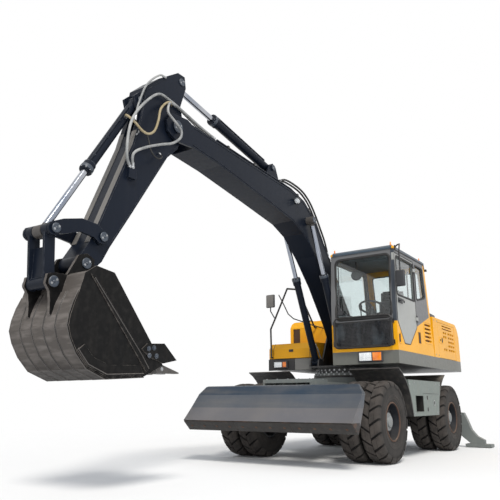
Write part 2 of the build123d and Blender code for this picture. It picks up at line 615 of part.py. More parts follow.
for name, side in (("left", 1), ("right", -1)):
    door = block(sorted((side * (HALF_WIDTH - PANEL), side * HALF_WIDTH)), (DOOR_FRONT, DOOR_REAR),
                 (SKIRT_TOP + SIDE_GAP, 2075))
    door = fillet(door.edges().filter_by(Axis.Z).sort_by(Axis.Y)[-2:], PIVOT_INSET - 1)
    for low, high in ((SKIRT_TOP, SKIRT_TOP + 35), (2044, 2076)):
        door -= bar_z(side * PIVOT_X, PIVOT_Y, PIVOT_PIN + RUNNING, low, high)
    for y, z, count, width, height in DOOR_VENTS:
        for i in range(count):
            low = y + i * (width + VENT_GAP)
            through = sorted((side * (HALF_WIDTH - PANEL - 1), side * (HALF_WIDTH + 1)))
            door -= block(through, (low, low + width), (z - height / 2, z + height / 2))
    write("engine_door_" + name, door)

# Right side: low tool box in front, fuel tank behind it.
toolbox = plate_yz(
    [(MODULE_FRONT, SKIRT_TOP), (MODULE_FRONT, 1640), (-400, 1735), (250, 1755), (250, SKIRT_TOP)],
    -HALF_WIDTH, MODULE_INNER)
write("tool_box", toolbox)
PANEL_SPLIT = -HALF_WIDTH + 510
PANEL_BOTTOM = 1290.0
PANEL_PLATE = 24.0
lamp_panel = block((-HALF_WIDTH, MODULE_INNER - 30), (MODULE_FRONT - PANEL_PLATE, MODULE_FRONT),
                   (PANEL_BOTTOM, SKIRT_TOP - 12))
lamp_panel -= block((PANEL_SPLIT - 3, PANEL_SPLIT + 3), (MODULE_FRONT - PANEL_PLATE - 1, MODULE_FRONT - 16),
                    (PANEL_BOTTOM - 1, SKIRT_TOP))
write("front_panel", lamp_panel)

LAMP_HOUSINGS = (
    # left x, right x, low z, high z, front y of the panel behind, width of the clear lamp
    (655, 1020, 1334, 1478, CAB_FRONT, 190),
    (-1130, -870, 1325, 1440, MODULE_FRONT - PANEL_PLATE, 150),
)
LAMP_DEPTH = 46.0
LAMP_RIM = 14.0
lamps = []
for x0, x1, z0, z1, face, clear_width in LAMP_HOUSINGS:
    housing = block((x0, x1), (face - LAMP_DEPTH, face), (z0, z1))
    housing = chamfer(housing.faces().sort_by(Axis.Y)[0].edges(), 10)
    x_split = x0 + LAMP_RIM + clear_width
    recess_y = (face - LAMP_DEPTH - 1, face - LAMP_DEPTH + 12)
    for low, high in ((x0 + LAMP_RIM, x_split), (x_split + LAMP_RIM, x1 - LAMP_RIM)):
        housing -= block((low, high), recess_y, (z0 + LAMP_RIM, z1 - LAMP_RIM))
    lamps.append(housing)
write("head_lamps", lamps)
tank = plate_yz([(255, SKIRT_TOP), (255, 2080), (330, 2190), (598, 2190), (598, SKIRT_TOP)],
                -HALF_WIDTH, MODULE_INNER)
tank = fillet(tank.edges().filter_by(Axis.Y).sort_by(Axis.Z)[-2:].sort_by(Axis.X)[0], 70)
tank -= block((-HALF_WIDTH + 60, -HALF_WIDTH + 200), (250, 270), (1790, 2060))
write("fuel_tank", tank)

# Cab shell: side profile extruded, hollowed, windows and doorway cut.
cab_profile = [
    (CAB_FRONT, SKIRT_TOP), (CAB_FRONT, 2240), (-985, CAB_TOP), (347, CAB_TOP), (CAB_REAR, 1530),
    (CAB_REAR, SKIRT_TOP),
]
inner_front, inner_rear = CAB_FRONT + CAB_WALL, CAB_REAR - CAB_WALL - 10
inner_profile = [
    (inner_front, SKIRT_TOP + CAB_WALL), (inner_front, 2240), (-985 + CAB_WALL, CAB_TOP + 1),
    (347 - CAB_WALL, CAB_TOP + 1), (inner_rear, 1530), (inner_rear, SKIRT_TOP + CAB_WALL),
]
cab = plate_yz(cab_profile, CAB_INNER, HALF_WIDTH)
cab -= plate_yz(inner_profile, CAB_INNER + CAB_WALL, HALF_WIDTH - CAB_WALL)
DOOR_GAP = 6.0
DOOR_EDGE = -192.0
door_outline = [
    (-990, 2900), (-1000, 1900), (-760, 1590), (-530, 1590), (DOOR_EDGE, 1870), (DOOR_EDGE, 2900),
]
doorway = [
    (-990 - DOOR_GAP, 2906), (-1006, 1896), (-764, 1584), (-526, 1584), (DOOR_EDGE + DOOR_GAP, 1866),
    (DOOR_EDGE + DOOR_GAP, 2906),
]
door_window = [(-930, 2860), (-960, 2280), (-222, 2280), (-222, 2860)]
cab -= plate_yz(doorway, HALF_WIDTH - CAB_WALL - 1, HALF_WIDTH + 1)
rear_side_window = [(-120, 2310), (-120, 2870), (235, 2870), (290, 2400)]
cab -= plate_yz(rear_side_window, HALF_WIDTH - CAB_WALL - 1, HALF_WIDTH + 1, radius=30)
right_window = [(-900, 2100), (-880, 2870), (235, 2870), (290, 2300), (290, 2100)]
cab -= plate_yz(right_window, CAB_INNER - 1, CAB_INNER + CAB_WALL + 1, radius=40)
WINDSCREEN_X = (CAB_INNER + 78, HALF_WIDTH - 70)
REAR_WINDOW_X = (CAB_INNER + 108, HALF_WIDTH - 110)
windscreen = rectangle(WINDSCREEN_X, (1960, 2890))
cab -= plate_xz(windscreen, CAB_FRONT - 1, CAB_FRONT + 140, radius=40)
rear_window = rectangle(REAR_WINDOW_X, (2200, 2850))
cab -= plate_xz(rear_window, 200, CAB_REAR + 1, radius=40)
for i in range(5):
    z = 1700 + 62 * i
    cab -= block((HALF_WIDTH - CAB_WALL - 1, HALF_WIDTH + 1), (166, 469), (z, z + 30))
HINGE_X = HALF_WIDTH + 16
HINGE_Y = DOOR_EDGE + DOOR_GAP / 2
HINGE_RADIUS = 13.0
HINGE_PIN = 6.0
KNUCKLE = 50.0
DOOR_HINGES = (1980.0, 2740.0)
for z in DOOR_HINGES:
    for low in (z - KNUCKLE / 2, z + KNUCKLE + RUNNING):
        high = low + KNUCKLE / 2 - RUNNING
        cab += block((HALF_WIDTH - 1, HINGE_X), (HINGE_Y, HINGE_Y + 46), (low, high))
        cab += bar_z(HINGE_X, HINGE_Y, HINGE_RADIUS, low, high)
    cab += bar_z(HINGE_X, HINGE_Y, HINGE_PIN, z - 10, z + KNUCKLE + 10)
write("cab_shell", cab)

roof = block((CAB_INNER, HALF_WIDTH), (-1000, 360), (CAB_TOP, ROOF_TOP))
roof = chamfer(roof.faces().sort_by(Axis.Z)[-1].edges(), 30)
write("cab_roof", roof)

GLASS = 6.0
glass = [
    plate_yz(rear_side_window, HALF_WIDTH - 24, HALF_WIDTH - 24 + GLASS, radius=30),
    plate_yz(right_window, CAB_INNER + 18, CAB_INNER + 18 + GLASS, radius=40),
]
windscreen_glass = plate_yz(
    [(CAB_FRONT + 14, 1960), (CAB_FRONT + 14, 2240), (-975, 2890), (-975 + GLASS, 2890),
     (CAB_FRONT + 14 + GLASS, 2240), (CAB_FRONT + 14 + GLASS, 1960)], *WINDSCREEN_X)
windscreen_glass &= plate_xz(windscreen, CAB_FRONT - 1, CAB_FRONT + 140, radius=40)
rear_glass = plate_yz([(444, 2200), (341, 2850), (347, 2850), (450, 2200)], *REAR_WINDOW_X)
rear_glass &= plate_xz(rear_window, 200, CAB_REAR + 1, radius=40)
write("cab_glass", glass + [windscreen_glass, rear_glass])

door = plate_yz(door_outline, HALF_WIDTH - CAB_WALL, HALF_WIDTH)
door -= plate_yz(door_window, HALF_WIDTH - CAB_WALL - 1, HALF_WIDTH + 1, radius=30)
for z in DOOR_HINGES:
    door += block((HALF_WIDTH - 1, HINGE_X), (HINGE_Y - 46, HINGE_Y), (z, z + KNUCKLE))
    door += bar_z(HINGE_X, HINGE_Y, HINGE_RADIUS, z, z + KNUCKLE)
    door -= bar_z(HINGE_X, HINGE_Y, HINGE_PIN + RUNNING, z - 1, z + KNUCKLE + 1)
write("cab_door", door)
write("door_glass", plate_yz(door_window, HALF_WIDTH - 24, HALF_WIDTH - 24 + GLASS, radius=30))

# Cab fittings
floor = SKIRT_TOP + CAB_WALL
SEAT_X = (CAB_INNER + HALF_WIDTH) / 2 - 21
SEAT_HALF = 240.0
ARMREST = (245.0, 320.0)
WHEEL_RADIUS = 185.0
seat = block((SEAT_X - SEAT_HALF, SEAT_X + SEAT_HALF), (-260, 200), (floor + 330, floor + 450))
seat += plate_yz([(130, floor + 430), (200, floor + 430), (270, 2550), (200, 2570)],
                 SEAT_X - SEAT_HALF + 20, SEAT_X + SEAT_HALF - 20)
seat += block((SEAT_X - SEAT_HALF / 2, SEAT_X + SEAT_HALF / 2), (-160, 100), (floor, floor + 330))
seat += block((SEAT_X - ARMREST[1], SEAT_X + ARMREST[1]), (-140, 0), (floor + 300, floor + 400))
for low, high in both_sides(*ARMREST):
    seat += block((SEAT_X + low, SEAT_X + high), (-350, 150), (floor + 400, floor + 560))
write("seat", seat)
column = rod_between((SEAT_X, -760, floor + 9), (SEAT_X, -640, floor + 620), 45)
column += block((SEAT_X - 60, SEAT_X + 60), (-820, -700), (floor, floor + 12))
wheel_plane = Plane(origin=(SEAT_X, -632, floor + 650), z_dir=(0, 0.45, 1))
grip = Plane.XZ * (Pos(WHEEL_RADIUS, 0) * RegularPolygon(16, 6))
column += wheel_plane * revolve(grip, Axis.Z)
column += wheel_plane * Box(2 * WHEEL_RADIUS - 8, 30, 14)
column += rod_between((SEAT_X, -645, floor + 600), (SEAT_X, -632, floor + 655), 30)
write("steering_column", column)

# Boom: tapered box section bent at the knee, with its pins, bosses and top bracket.
boom_outline = [
    (60, 1690), (-40, 1630), (-180, 1720), (-362, 2000), (-820, 2560), (-1220, 2950), (-1580, 3230),
    (-1900, 3350), (-2680, 3470), (-3650, 3610), (-4330, 3668), (-4390, 3900), (-4290, 3935),
    (-3200, 3875), (-1910, 3816), (-1526, 3727), (-1250, 3550), (-560, 2790), (80, 1860), (90, 1760),
]
boom_left, boom_right = BOOM_CENTRE + BOOM_WIDTH / 2, BOOM_CENTRE - BOOM_WIDTH / 2
boom = plate_yz(boom_outline, boom_right, boom_left)
boom += bar_x(BOOM_FOOT, 130, boom_right, boom_left)
boom -= bar_x(BOOM_FOOT, 40 + RUNNING, boom_right - 1, boom_left + 1)
EAR = 30.0
HEAD_RADIUS = 345.0
arm_boss = BOOM_WIDTH / 2 - EAR
boom_ear = [
    (-4200, 3650), (-4475, 3620), (-4620, 3700), (-4640, 3820), (-4560, 3930), (-4290, 3960), (-4200, 3925),
]
for side in (-1, 1):
    x0, x1 = sorted((BOOM_CENTRE + side * arm_boss, BOOM_CENTRE + side * BOOM_WIDTH / 2))
    boom += plate_yz(boom_ear, x0, x1)
    boom += bar_x(BOOM_CYLINDER_EYE, 62, *sorted(
        (BOOM_CENTRE + side * 100, BOOM_CENTRE + side * (CYLINDER_OFFSET - EYE_HALF - SIDE_GAP))))
boom -= bar_x(ARM_PIN, HEAD_RADIUS, BOOM_CENTRE - arm_boss, BOOM_CENTRE + arm_boss)
boom += bar_x(ARM_PIN, 38, BOOM_CENTRE - BOOM_WIDTH / 2 - 18, BOOM_CENTRE + BOOM_WIDTH / 2 + 18)
for side in (-1, 1):
    x0, x1 = sorted((BOOM_CENTRE + side * 66, BOOM_CENTRE + side * 90))
    boom += plate_yz([(-2520, 3800), (-2380, 4090), (-2300, 4130), (-2220, 4090), (-2080, 3800)], x0, x1)
boom += bar_x(ARM_CYLINDER_BASE, 30, BOOM_CENTRE - 102, BOOM_CENTRE + 102)
write("boom", boom)

# Oil pipes along the boom's top, on posts that stand square on it.
PIPE_HEIGHT = 34.0
PIPE_RADIUS = 13.0
POST_RADIUS = 9.0
POST_SHARES = (0.12, 0.5, 0.88)
LONG_RUN = 600.0
pipe_line = [(-560, 2790), (-1250, 3550), (-1526, 3727), (-1910, 3816), (-3200, 3875), (-3750, 3905.3)]


def pipe(x):
    """One pipe above the boom's top at x, with its posts."""
    lifted, posts = [], []
    for start, end in zip(pipe_line, pipe_line[1:]):
        run = math.dist(start, end)
        normal = ((end[1] - start[1]) / run * PIPE_HEIGHT, -(end[0] - start[0]) / run * PIPE_HEIGHT)
        for share in POST_SHARES if run > LONG_RUN else POST_SHARES[1:2]:
            foot = along(start, end, share)
            posts.append((side_point(foot, x), side_point((foot[0] + normal[0], foot[1] + normal[1]), x)))
        lifted.append(side_point((start[0] + normal[0], start[1] + normal[1]), x))
        lifted.append(side_point((end[0] + normal[0], end[1] + normal[1]), x))
    route = [along(lifted[0], lifted[1], 0.06)]
    route += [along(a, b, 0.5) for a, b in zip(lifted[1:-1:2], lifted[2::2])]
    route.append(along(lifted[-1], lifted[-2], 0.08))
    solid = tube(route, PIPE_RADIUS)
    for foot, top in posts:
        solid += rod_between(foot, top, POST_RADIUS)
    return solid


write("boom_pipes", [pipe(BOOM_CENTRE + offset) for offset in (-152, -118, 118, 152)])

barrels, rods = [], []
for side in (-1, 1):
    x = BOOM_CENTRE + side * CYLINDER_OFFSET
    barrel, rod = cylinder(side_point(BOOM_CYLINDER_FOOT, x), side_point(BOOM_CYLINDER_EYE, x),
                           0.625, 475, BARREL_RADIUS, ROD_RADIUS, 2 * EYE_HALF, 30)
    barrels.append(barrel)
    rods.append(rod)
write("boom_barrels", barrels)
write("boom_rods", rods)

# Arm: box section with a deep root; the bucket cylinder sits on its front.
ARM_HALF = 125.0
arm_outline = [
    (-4285, 4380), (-4310, 4520), (-4430, 4520), (-4745, 4290), (-4935, 4105), (-5000, 3688), (-5090, 3358),
    (-5480, 2380), (-5560, 2200), (-5680, 2010), (-5640, 1910), (-5540, 1910), (-5395, 2046), (-5310, 2204),
    (-5046, 2619), (-4560, 3400), (-4400, 3560), (-4340, 3700), (-4300, 3850), (-4370, 4110),
]
arm = plate_yz(arm_outline, BOOM_CENTRE - ARM_HALF, BOOM_CENTRE + ARM_HALF)
arm_bosses = (
    # pin, boss radius, half width
    (ARM_PIN, 130, arm_boss - SIDE_GAP),
    (BUCKET_PIN, 85, 125),
    (IDLER_PIN, 70, 150),
)
for pin, radius, half in arm_bosses:
    arm += bar_x(pin, radius, BOOM_CENTRE - half, BOOM_CENTRE + half)
arm -= bar_x(ARM_PIN, 38 + RUNNING, BOOM_CENTRE - 200, BOOM_CENTRE + 200)
eye_slot = 66.0
arm -= plate_yz([(-4250, 4250), (-4250, 4600), (-4520, 4600), (-4520, 4330), (-4400, 4250)],
                BOOM_CENTRE - eye_slot, BOOM_CENTRE + eye_slot)
base_slot = 60.0
for side in (-1, 1):
    x0, x1 = sorted((BOOM_CENTRE + side * base_slot, BOOM_CENTRE + side * (base_slot + 28)))
    arm += plate_yz([(-4900, 4060), (-4870, 3800), (-5030, 3820), (-5070, 3940), (-5000, 4010)], x0, x1)
    arm += bar_x(IDLER_PIN, 34, *sorted((BOOM_CENTRE + side * 150, BOOM_CENTRE + side * 190)))
arm -= plate_yz([(-4860, 4020), (-4840, 3900), (-4900, 3700), (-5000, 3500), (-5200, 3500), (-5200, 4020)],
                BOOM_CENTRE - base_slot, BOOM_CENTRE + base_slot)
arm += bar_x(BUCKET_CYLINDER_BASE, 27, BOOM_CENTRE - 95, BOOM_CENTRE + 95)
arm += bar_x(BUCKET_PIN, 36, BOOM_CENTRE - 160, BOOM_CENTRE + 160)
arm += block((BOOM_CENTRE + ARM_HALF - 5, BOOM_CENTRE + ARM_HALF + 42), (-5150, -5050), (2970, 3080))
write("arm", arm)

barrel, rod = cylinder(side_point(ARM_CYLINDER_BASE, BOOM_CENTRE), side_point(ARM_CYLINDER_EYE, BOOM_CENTRE),
                       0.645, 450, 60, 38, 120, 30)
write("arm_barrel", barrel)
write("arm_rod", rod)
barrel, rod = cylinder(side_point(BUCKET_CYLINDER_BASE, BOOM_CENTRE), side_point(LINK_PIN, BOOM_CENTRE),
                       0.585, 692, 52, 34, 110, 27)
write("bucket_barrel", barrel)
write("bucket_rod", rod)

# Bucket linkage: curved idlers outside the arm, box link between them.
IDLER_INNER = 155.0
IDLER_OUTER = 180.0
idlers = []
for side in (-1, 1):
    x0, x1 = sorted((BOOM_CENTRE + side * IDLER_INNER, BOOM_CENTRE + side * IDLER_OUTER))
    idler = plate_yz(
        [(-5400, 2230), (-5410, 2320), (-5520, 2375), (-5700, 2385), (-5900, 2330), (-6030, 2270),
         (-6030, 2180), (-5900, 2190), (-5700, 2260), (-5540, 2240), (-5480, 2200)], x0, x1)
    idler += bar_x(LINK_PIN, 62, x0, x1) + bar_x(IDLER_PIN, 66, x0, x1)
    idler -= bar_x(IDLER_PIN, 34 + RUNNING, x0 - 1, x1 + 1)
    idler += bar_x(LINK_PIN, 30, *sorted((BOOM_CENTRE + side * 62, BOOM_CENTRE + side * 200)))
    idlers.append(idler)
write("idler_links", idlers)

link = bar_x(BUCKET_EAR_PIN, 56, BOOM_CENTRE - 122, BOOM_CENTRE + 122)
for side in (-1, 1):
    x0, x1 = sorted((BOOM_CENTRE + side * 92, BOOM_CENTRE + side * 117))
    link += plate_yz([(-6040, 2222), (-5930, 2222), (-5895, 1762), (-6001, 1762)], x0, x1)
    link += bar_x(LINK_PIN, 60, *sorted((BOOM_CENTRE + side * 66, BOOM_CENTRE + side * 145)))
link += block((BOOM_CENTRE - 92, BOOM_CENTRE + 92), (-5975, -5950), (1790, 2080))
for side in (-1, 1):
    link -= bar_x(LINK_PIN, 30 + RUNNING, *sorted((BOOM_CENTRE + side * 60, BOOM_CENTRE + side * 150)))
write("bucket_link", link)

# Bucket: curved wrapper, two side plates, lip, ears.
half_bucket = BUCKET_WIDTH / 2
bucket_right, bucket_left = BOOM_CENTRE - half_bucket, BOOM_CENTRE + half_bucket
bucket_outline = [
    (-5680, 1922), (-5470, 1896), (-4965, 1312), (-4800, 1115), (-5042, 1003), (-5505, 977), (-5709, 1052),
    (-5820, 1165), (-5892, 1281), (-5927, 1380), (-5915, 1470), (-5882, 1580), (-5842, 1690), (-5800, 1840),
]
bucket_inner = [
    (-5672, 1990), (-5440, 1960), (-4700, 1200), (-4700, 1150), (-5042, 1020), (-5500, 994), (-5700, 1068),
    (-5807, 1175), (-5876, 1288), (-5910, 1382), (-5898, 1466), (-5866, 1574), (-5826, 1686), (-5782, 1840),
]
bucket = plate_yz(bucket_outline, bucket_right, bucket_left)
bucket -= plate_yz(bucket_inner, bucket_right + BUCKET_PLATE, bucket_left - BUCKET_PLATE)
ear = [
    (-5600, 2080), (-5510, 2040), (-5510, 1930), (-5640, 1880), (-5775, 1830), (-5830, 1650), (-5895, 1440),
    (-5950, 1490), (-5955, 1600), (-5970, 1680), (-6015, 1740), (-6000, 1825), (-5930, 1845), (-5800, 1850),
    (-5690, 2050),
]
WEAR_STRIPS = 5
STRIP_WIDTH = 142.0
DOUBLER = 12.0
wear_strip = [
    (-5042, 994), (-5505, 963), (-5717, 1041), (-5833, 1158), (-5907, 1277), (-5943, 1380), (-5931, 1473),
    (-5897, 1584), (-5850, 1686), (-5836, 1690), (-5874, 1577), (-5907, 1468), (-5919, 1381), (-5884, 1284),
    (-5814, 1170), (-5705, 1060), (-5503, 985), (-5042, 1011),
]
side_cutter = [(-5097, 1247), (-5029, 1302), (-4799, 1320), (-4617, 1170), (-4805, 1131), (-4990, 1180)]
side_bar = [(-5743, 1840), (-5690, 1830), (-5090, 1200), (-4990, 1075), (-5030, 1040), (-5120, 1150)]
heel_plate = [
    (-5830, 1185), (-5709, 1062), (-5505, 988), (-5060, 1012), (-5110, 1100), (-5480, 1082), (-5660, 1140),
    (-5760, 1240),
]
for side in (-1, 1):
    x0, x1 = sorted((BOOM_CENTRE + side * 130, BOOM_CENTRE + side * 160))
    bucket += plate_yz(ear, x0, x1)
    bucket += bar_x(BUCKET_EAR_PIN, 40, *sorted((BOOM_CENTRE + side * 130, BOOM_CENTRE + side * 178)))
bucket -= bar_x(BUCKET_PIN, 36 + RUNNING, BOOM_CENTRE - 200, BOOM_CENTRE + 200)
for i in range(WEAR_STRIPS):
    strip_x = bucket_right + (i + 0.5) * BUCKET_WIDTH / WEAR_STRIPS
    bucket += plate_yz(wear_strip, strip_x - STRIP_WIDTH / 2, strip_x + STRIP_WIDTH / 2)
for x in ((bucket_right - DOUBLER, bucket_right + 1), (bucket_left - 1, bucket_left + DOUBLER)):
    for outline in (side_cutter, side_bar, heel_plate):
        bucket += plate_yz(outline, *x)
write("bucket", bucket)

TEETH = 5
tooth_side = [(-4880, 1085), (-4835, 1130), (-4557, 1056), (-4557, 1044), (-4860, 1040)]
teeth = []
for i in range(TEETH):
    x = bucket_right + 45 + (BUCKET_WIDTH - 90) * i / (TEETH - 1)
    teeth.append(plate_yz(tooth_side, x - 34, x + 34))
write("bucket_teeth", [t - plate_yz(bucket_outline, bucket_right, bucket_left) for t in teeth])

# Guard, mirrors and rails
GUARD_Y = CAB_FRONT - 60
GUARD_X = (CAB_INNER + 68, HALF_WIDTH - 60)
GUARD_Z = (1540.0, 1980.0)
GUARD_TUBE = 14.0
guard = rod_between((GUARD_X[0], GUARD_Y, GUARD_Z[0]), (GUARD_X[0], GUARD_Y, GUARD_Z[1]), GUARD_TUBE)
guard += rod_between((GUARD_X[1], GUARD_Y, GUARD_Z[0]), (GUARD_X[1], GUARD_Y, GUARD_Z[1]), GUARD_TUBE)
for z in GUARD_Z:
    guard += rod_between((GUARD_X[0], GUARD_Y, z), (GUARD_X[1], GUARD_Y, z), GUARD_TUBE)
for x in (GUARD_X[0] + 20, GUARD_X[1] - 20):
    guard += rod_between((x, GUARD_Y, GUARD_Z[0]), (x, GUARD_Y, GUARD_Z[1]), 8)
    for z in (GUARD_Z[0] + 60, GUARD_Z[1] - 80):
        guard += rod_between((x, CAB_FRONT, z), (x, GUARD_Y, z), 12)
write("windscreen_guard", guard)

RAIL_Y = MODULE_FRONT - 30
RAIL_X = -HALF_WIDTH + 60
rail_path = [
    (RAIL_X, MODULE_FRONT - 0.3, 1510), (RAIL_X, RAIL_Y, 1510), (RAIL_X - 10, RAIL_Y, 1990),
    (RAIL_X + 80, RAIL_Y, 2160), (RAIL_X + 330, RAIL_Y, 2660), (RAIL_X + 450, -330, 2660),
    (RAIL_X + 470, 200, 2060), (RAIL_X + 470, 254.7, 2060),
]
mirror_stay = [(RAIL_X + 80, RAIL_Y, 2160), (RAIL_X - 10, RAIL_Y, 2300), (RAIL_X - 10, RAIL_Y, 2359.7)]
rail = tube(rail_path, 15) + tube(mirror_stay, 10)
write("hand_rail", rail)
mirror_right = block((RAIL_X - 95, RAIL_X + 75), (RAIL_Y - 20, RAIL_Y + 20), (2360, 2590))
mirror_x_mid = HALF_WIDTH + 110
mirror_left = tube(
    [(HALF_WIDTH + 0.3, -940, 2985), (mirror_x_mid - 20, -940, 2985), (mirror_x_mid, CAB_FRONT - 50, 2900),
     (mirror_x_mid, CAB_FRONT - 50, 2590)], 12)
mirror_left += block((mirror_x_mid - 70, mirror_x_mid + 70), (CAB_FRONT - 70, CAB_FRONT - 30), (2370, 2600))
write("mirrors", [mirror_left, mirror_right])
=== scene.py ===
import bpy
import bmesh
import math
from mathutils import Matrix, Vector


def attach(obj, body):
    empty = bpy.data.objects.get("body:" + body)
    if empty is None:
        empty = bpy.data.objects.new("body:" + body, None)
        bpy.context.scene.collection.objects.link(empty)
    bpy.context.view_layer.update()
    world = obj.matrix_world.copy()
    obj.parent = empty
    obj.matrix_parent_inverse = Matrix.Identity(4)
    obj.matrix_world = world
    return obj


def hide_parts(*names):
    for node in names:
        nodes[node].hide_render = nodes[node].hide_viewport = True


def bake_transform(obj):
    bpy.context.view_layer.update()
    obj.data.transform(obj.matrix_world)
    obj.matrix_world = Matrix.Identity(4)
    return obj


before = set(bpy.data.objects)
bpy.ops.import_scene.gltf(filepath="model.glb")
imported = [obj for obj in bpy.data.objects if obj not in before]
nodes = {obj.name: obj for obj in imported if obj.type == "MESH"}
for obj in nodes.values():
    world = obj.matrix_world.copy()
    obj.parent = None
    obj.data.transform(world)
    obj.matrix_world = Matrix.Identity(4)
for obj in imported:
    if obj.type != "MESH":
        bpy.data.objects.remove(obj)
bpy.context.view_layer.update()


# The camera stands low in front of the machine's left front corner and looks up along it, over a pale plain
# floor that keeps its shadow. One soft sun stands high behind the camera, with a large pale lamp on the
# machine's left and the pale surroundings as fill.
LOOK = Vector((-0.5463, 0.7988, 0.2522))
camera_data = bpy.data.cameras.new("camera")
camera_data.lens = 42.13
camera_data.sensor_width = 36.0
camera_data.clip_end = 400.0
camera = bpy.data.objects.new("camera", camera_data)
camera.location = (4.193, -9.013, 0.772)
camera.rotation_euler = LOOK.to_track_quat("-Z", "Y").to_euler()
bpy.context.scene.collection.objects.link(camera)
bpy.context.scene.camera = camera
bpy.context.scene.view_settings.view_transform = "Standard"

key_data = bpy.data.lights.new("key", "SUN")
key_data.energy = 2.6
key_data.angle = math.radians(18)
key_data.color = (1.0, 0.97, 0.92)
key = bpy.data.objects.new("key", key_data)
key.rotation_euler = Vector((-0.42, 0.50, -0.76)).to_track_quat("-Z", "Y").to_euler()
bpy.context.scene.collection.objects.link(key)

fill_data = bpy.data.lights.new("fill", "AREA")
fill_data.energy = 420.0
fill_data.size = 7.0
fill_data.color = (0.93, 0.96, 1.0)
fill = bpy.data.objects.new("fill", fill_data)
fill.location = (9.0, -9.0, 3.0)
fill.rotation_euler = (Vector((0.0, 0.0, 1.6)) - fill.location).to_track_quat("-Z", "Y").to_euler()
bpy.context.scene.collection.objects.link(fill)


def camera_like_ray(tree):
    """1 for rays that show a surface as it is: seen, mirrored or through glass."""
    path = tree.nodes.new("ShaderNodeLightPath")
    total = tree.nodes.new("ShaderNodeMath")
    total.operation = "ADD"
    tree.links.new(path.outputs["Is Camera Ray"], total.inputs[0])
    tree.links.new(path.outputs["Is Glossy Ray"], total.inputs[1])
    seen = tree.nodes.new("ShaderNodeMath")
    seen.operation = "ADD"
    seen.use_clamp = True
    tree.links.new(total.outputs[0], seen.inputs[0])
    tree.links.new(path.outputs["Is Transmission Ray"], seen.inputs[1])
    return seen.outputs[0]


world = bpy.data.worlds.new("pale_surroundings")
world.use_nodes = True
bpy.context.scene.world = world
tree = world.node_tree
backdrop = tree.nodes["Background"]
backdrop.inputs["Color"].default_value = (0.90, 0.94, 1.0, 1)
backdrop.inputs["Strength"].default_value = 0.55
white = tree.nodes.new("ShaderNodeBackground")
white.inputs["Color"].default_value = (1, 1, 1, 1)
white.inputs["Strength"].default_value = 1.0
mix = tree.nodes.new("ShaderNodeMixShader")
tree.links.new(camera_like_ray(tree), mix.inputs[0])
tree.links.new(backdrop.outputs[0], mix.inputs[1])
tree.links.new(white.outputs[0], mix.inputs[2])
tree.links.new(mix.outputs[0], tree.nodes["World Output"].inputs["Surface"])

floor_mesh = bpy.data.meshes.new("floor")
floor_mesh.from_pydata([(-150, -150, 0), (150, -150, 0), (150, 150, 0), (-150, 150, 0)], [], [(0, 1, 2, 3)])
floor = bpy.data.objects.new("floor", floor_mesh)
bpy.context.scene.collection.objects.link(floor)
floor_paint = bpy.data.materials.new("pale_floor")
floor_paint.use_nodes = True
tree = floor_paint.node_tree
matt = tree.nodes["Principled BSDF"]
matt.inputs["Base Color"].default_value = (0.86, 0.86, 0.86, 1)
matt.inputs["Roughness"].default_value = 0.9
glow = tree.nodes.new("ShaderNodeEmission")
glow.inputs["Color"].default_value = (1, 1, 1, 1)
place = tree.nodes.new("ShaderNodeTexCoord")
reach = tree.nodes.new("ShaderNodeVectorMath")
reach.operation = "LENGTH"
tree.links.new(place.outputs["Object"], reach.inputs[0])
fade = tree.nodes.new("ShaderNodeMapRange")
fade.inputs["From Min"].default_value = 4.5
fade.inputs["From Max"].default_value = 11.0
tree.links.new(reach.outputs["Value"], fade.inputs["Value"])
seen = tree.nodes.new("ShaderNodeMath")
seen.operation = "MULTIPLY"
tree.links.new(camera_like_ray(tree), seen.inputs[0])
tree.links.new(fade.outputs[0], seen.inputs[1])
mix = tree.nodes.new("ShaderNodeMixShader")
tree.links.new(seen.outputs[0], mix.inputs[0])
tree.links.new(matt.outputs[0], mix.inputs[1])
tree.links.new(glow.outputs[0], mix.inputs[2])
tree.links.new(mix.outputs[0], tree.nodes["Material Output"].inputs["Surface"])
floor_mesh.materials.append(floor_paint)


# Chassis and outriggers: welded steel plate under satin grey paint, with road dust on what faces up and bare
# metal along the corners. Paint on steel is one shader group, which every painted piece of the machine uses.
def new_group(name, inputs, outputs):
    """An empty shader group with named inputs (name, kind, value) and outputs (name, kind)."""
    group = bpy.data.node_groups.new(name, "ShaderNodeTree")
    for title, kind, value in inputs:
        item = group.interface.new_socket(title, in_out="INPUT", socket_type="NodeSocket" + kind)
        item.default_value = value
    for title, kind in outputs:
        group.interface.new_socket(title, in_out="OUTPUT", socket_type="NodeSocket" + kind)
    return group, group.nodes.new("NodeGroupInput"), group.nodes.new("NodeGroupOutput")


def math_node(tree, operation, first, second=None, clamp=False):
    """A Math node; each input is a number or an output."""
    node = tree.nodes.new("ShaderNodeMath")
    node.operation = operation
    node.use_clamp = clamp
    for place, value in enumerate((first, second)):
        if value is None:
            continue
        if isinstance(value, (int, float)):
            node.inputs[place].default_value = value
        else:
            tree.links.new(value, node.inputs[place])
    return node.outputs[0]


def mix_colour(tree, share, first, second):
    """A colour mixed from two, each a colour or an output."""
    node = tree.nodes.new("ShaderNodeMix")
    node.data_type = "RGBA"
    for socket, value in ((node.inputs["Factor"], share), (node.inputs[6], first), (node.inputs[7], second)):
        if isinstance(value, (int, float)):
            socket.default_value = value
        elif isinstance(value, tuple):
            socket.default_value = (*value, 1) if len(value) == 3 else value
        else:
            tree.links.new(value, socket)
    return node.outputs[2]


def span(tree, value, low, high, start=0.0, end=1.0):
    """Maps low..high onto start..end, clamped."""
    node = tree.nodes.new("ShaderNodeMapRange")
    node.inputs["From Min"].default_value = low
    node.inputs["From Max"].default_value = high
    node.inputs["To Min"].default_value = start
    node.inputs["To Max"].default_value = end
    tree.links.new(value, node.inputs["Value"])
    return node.outputs[0]


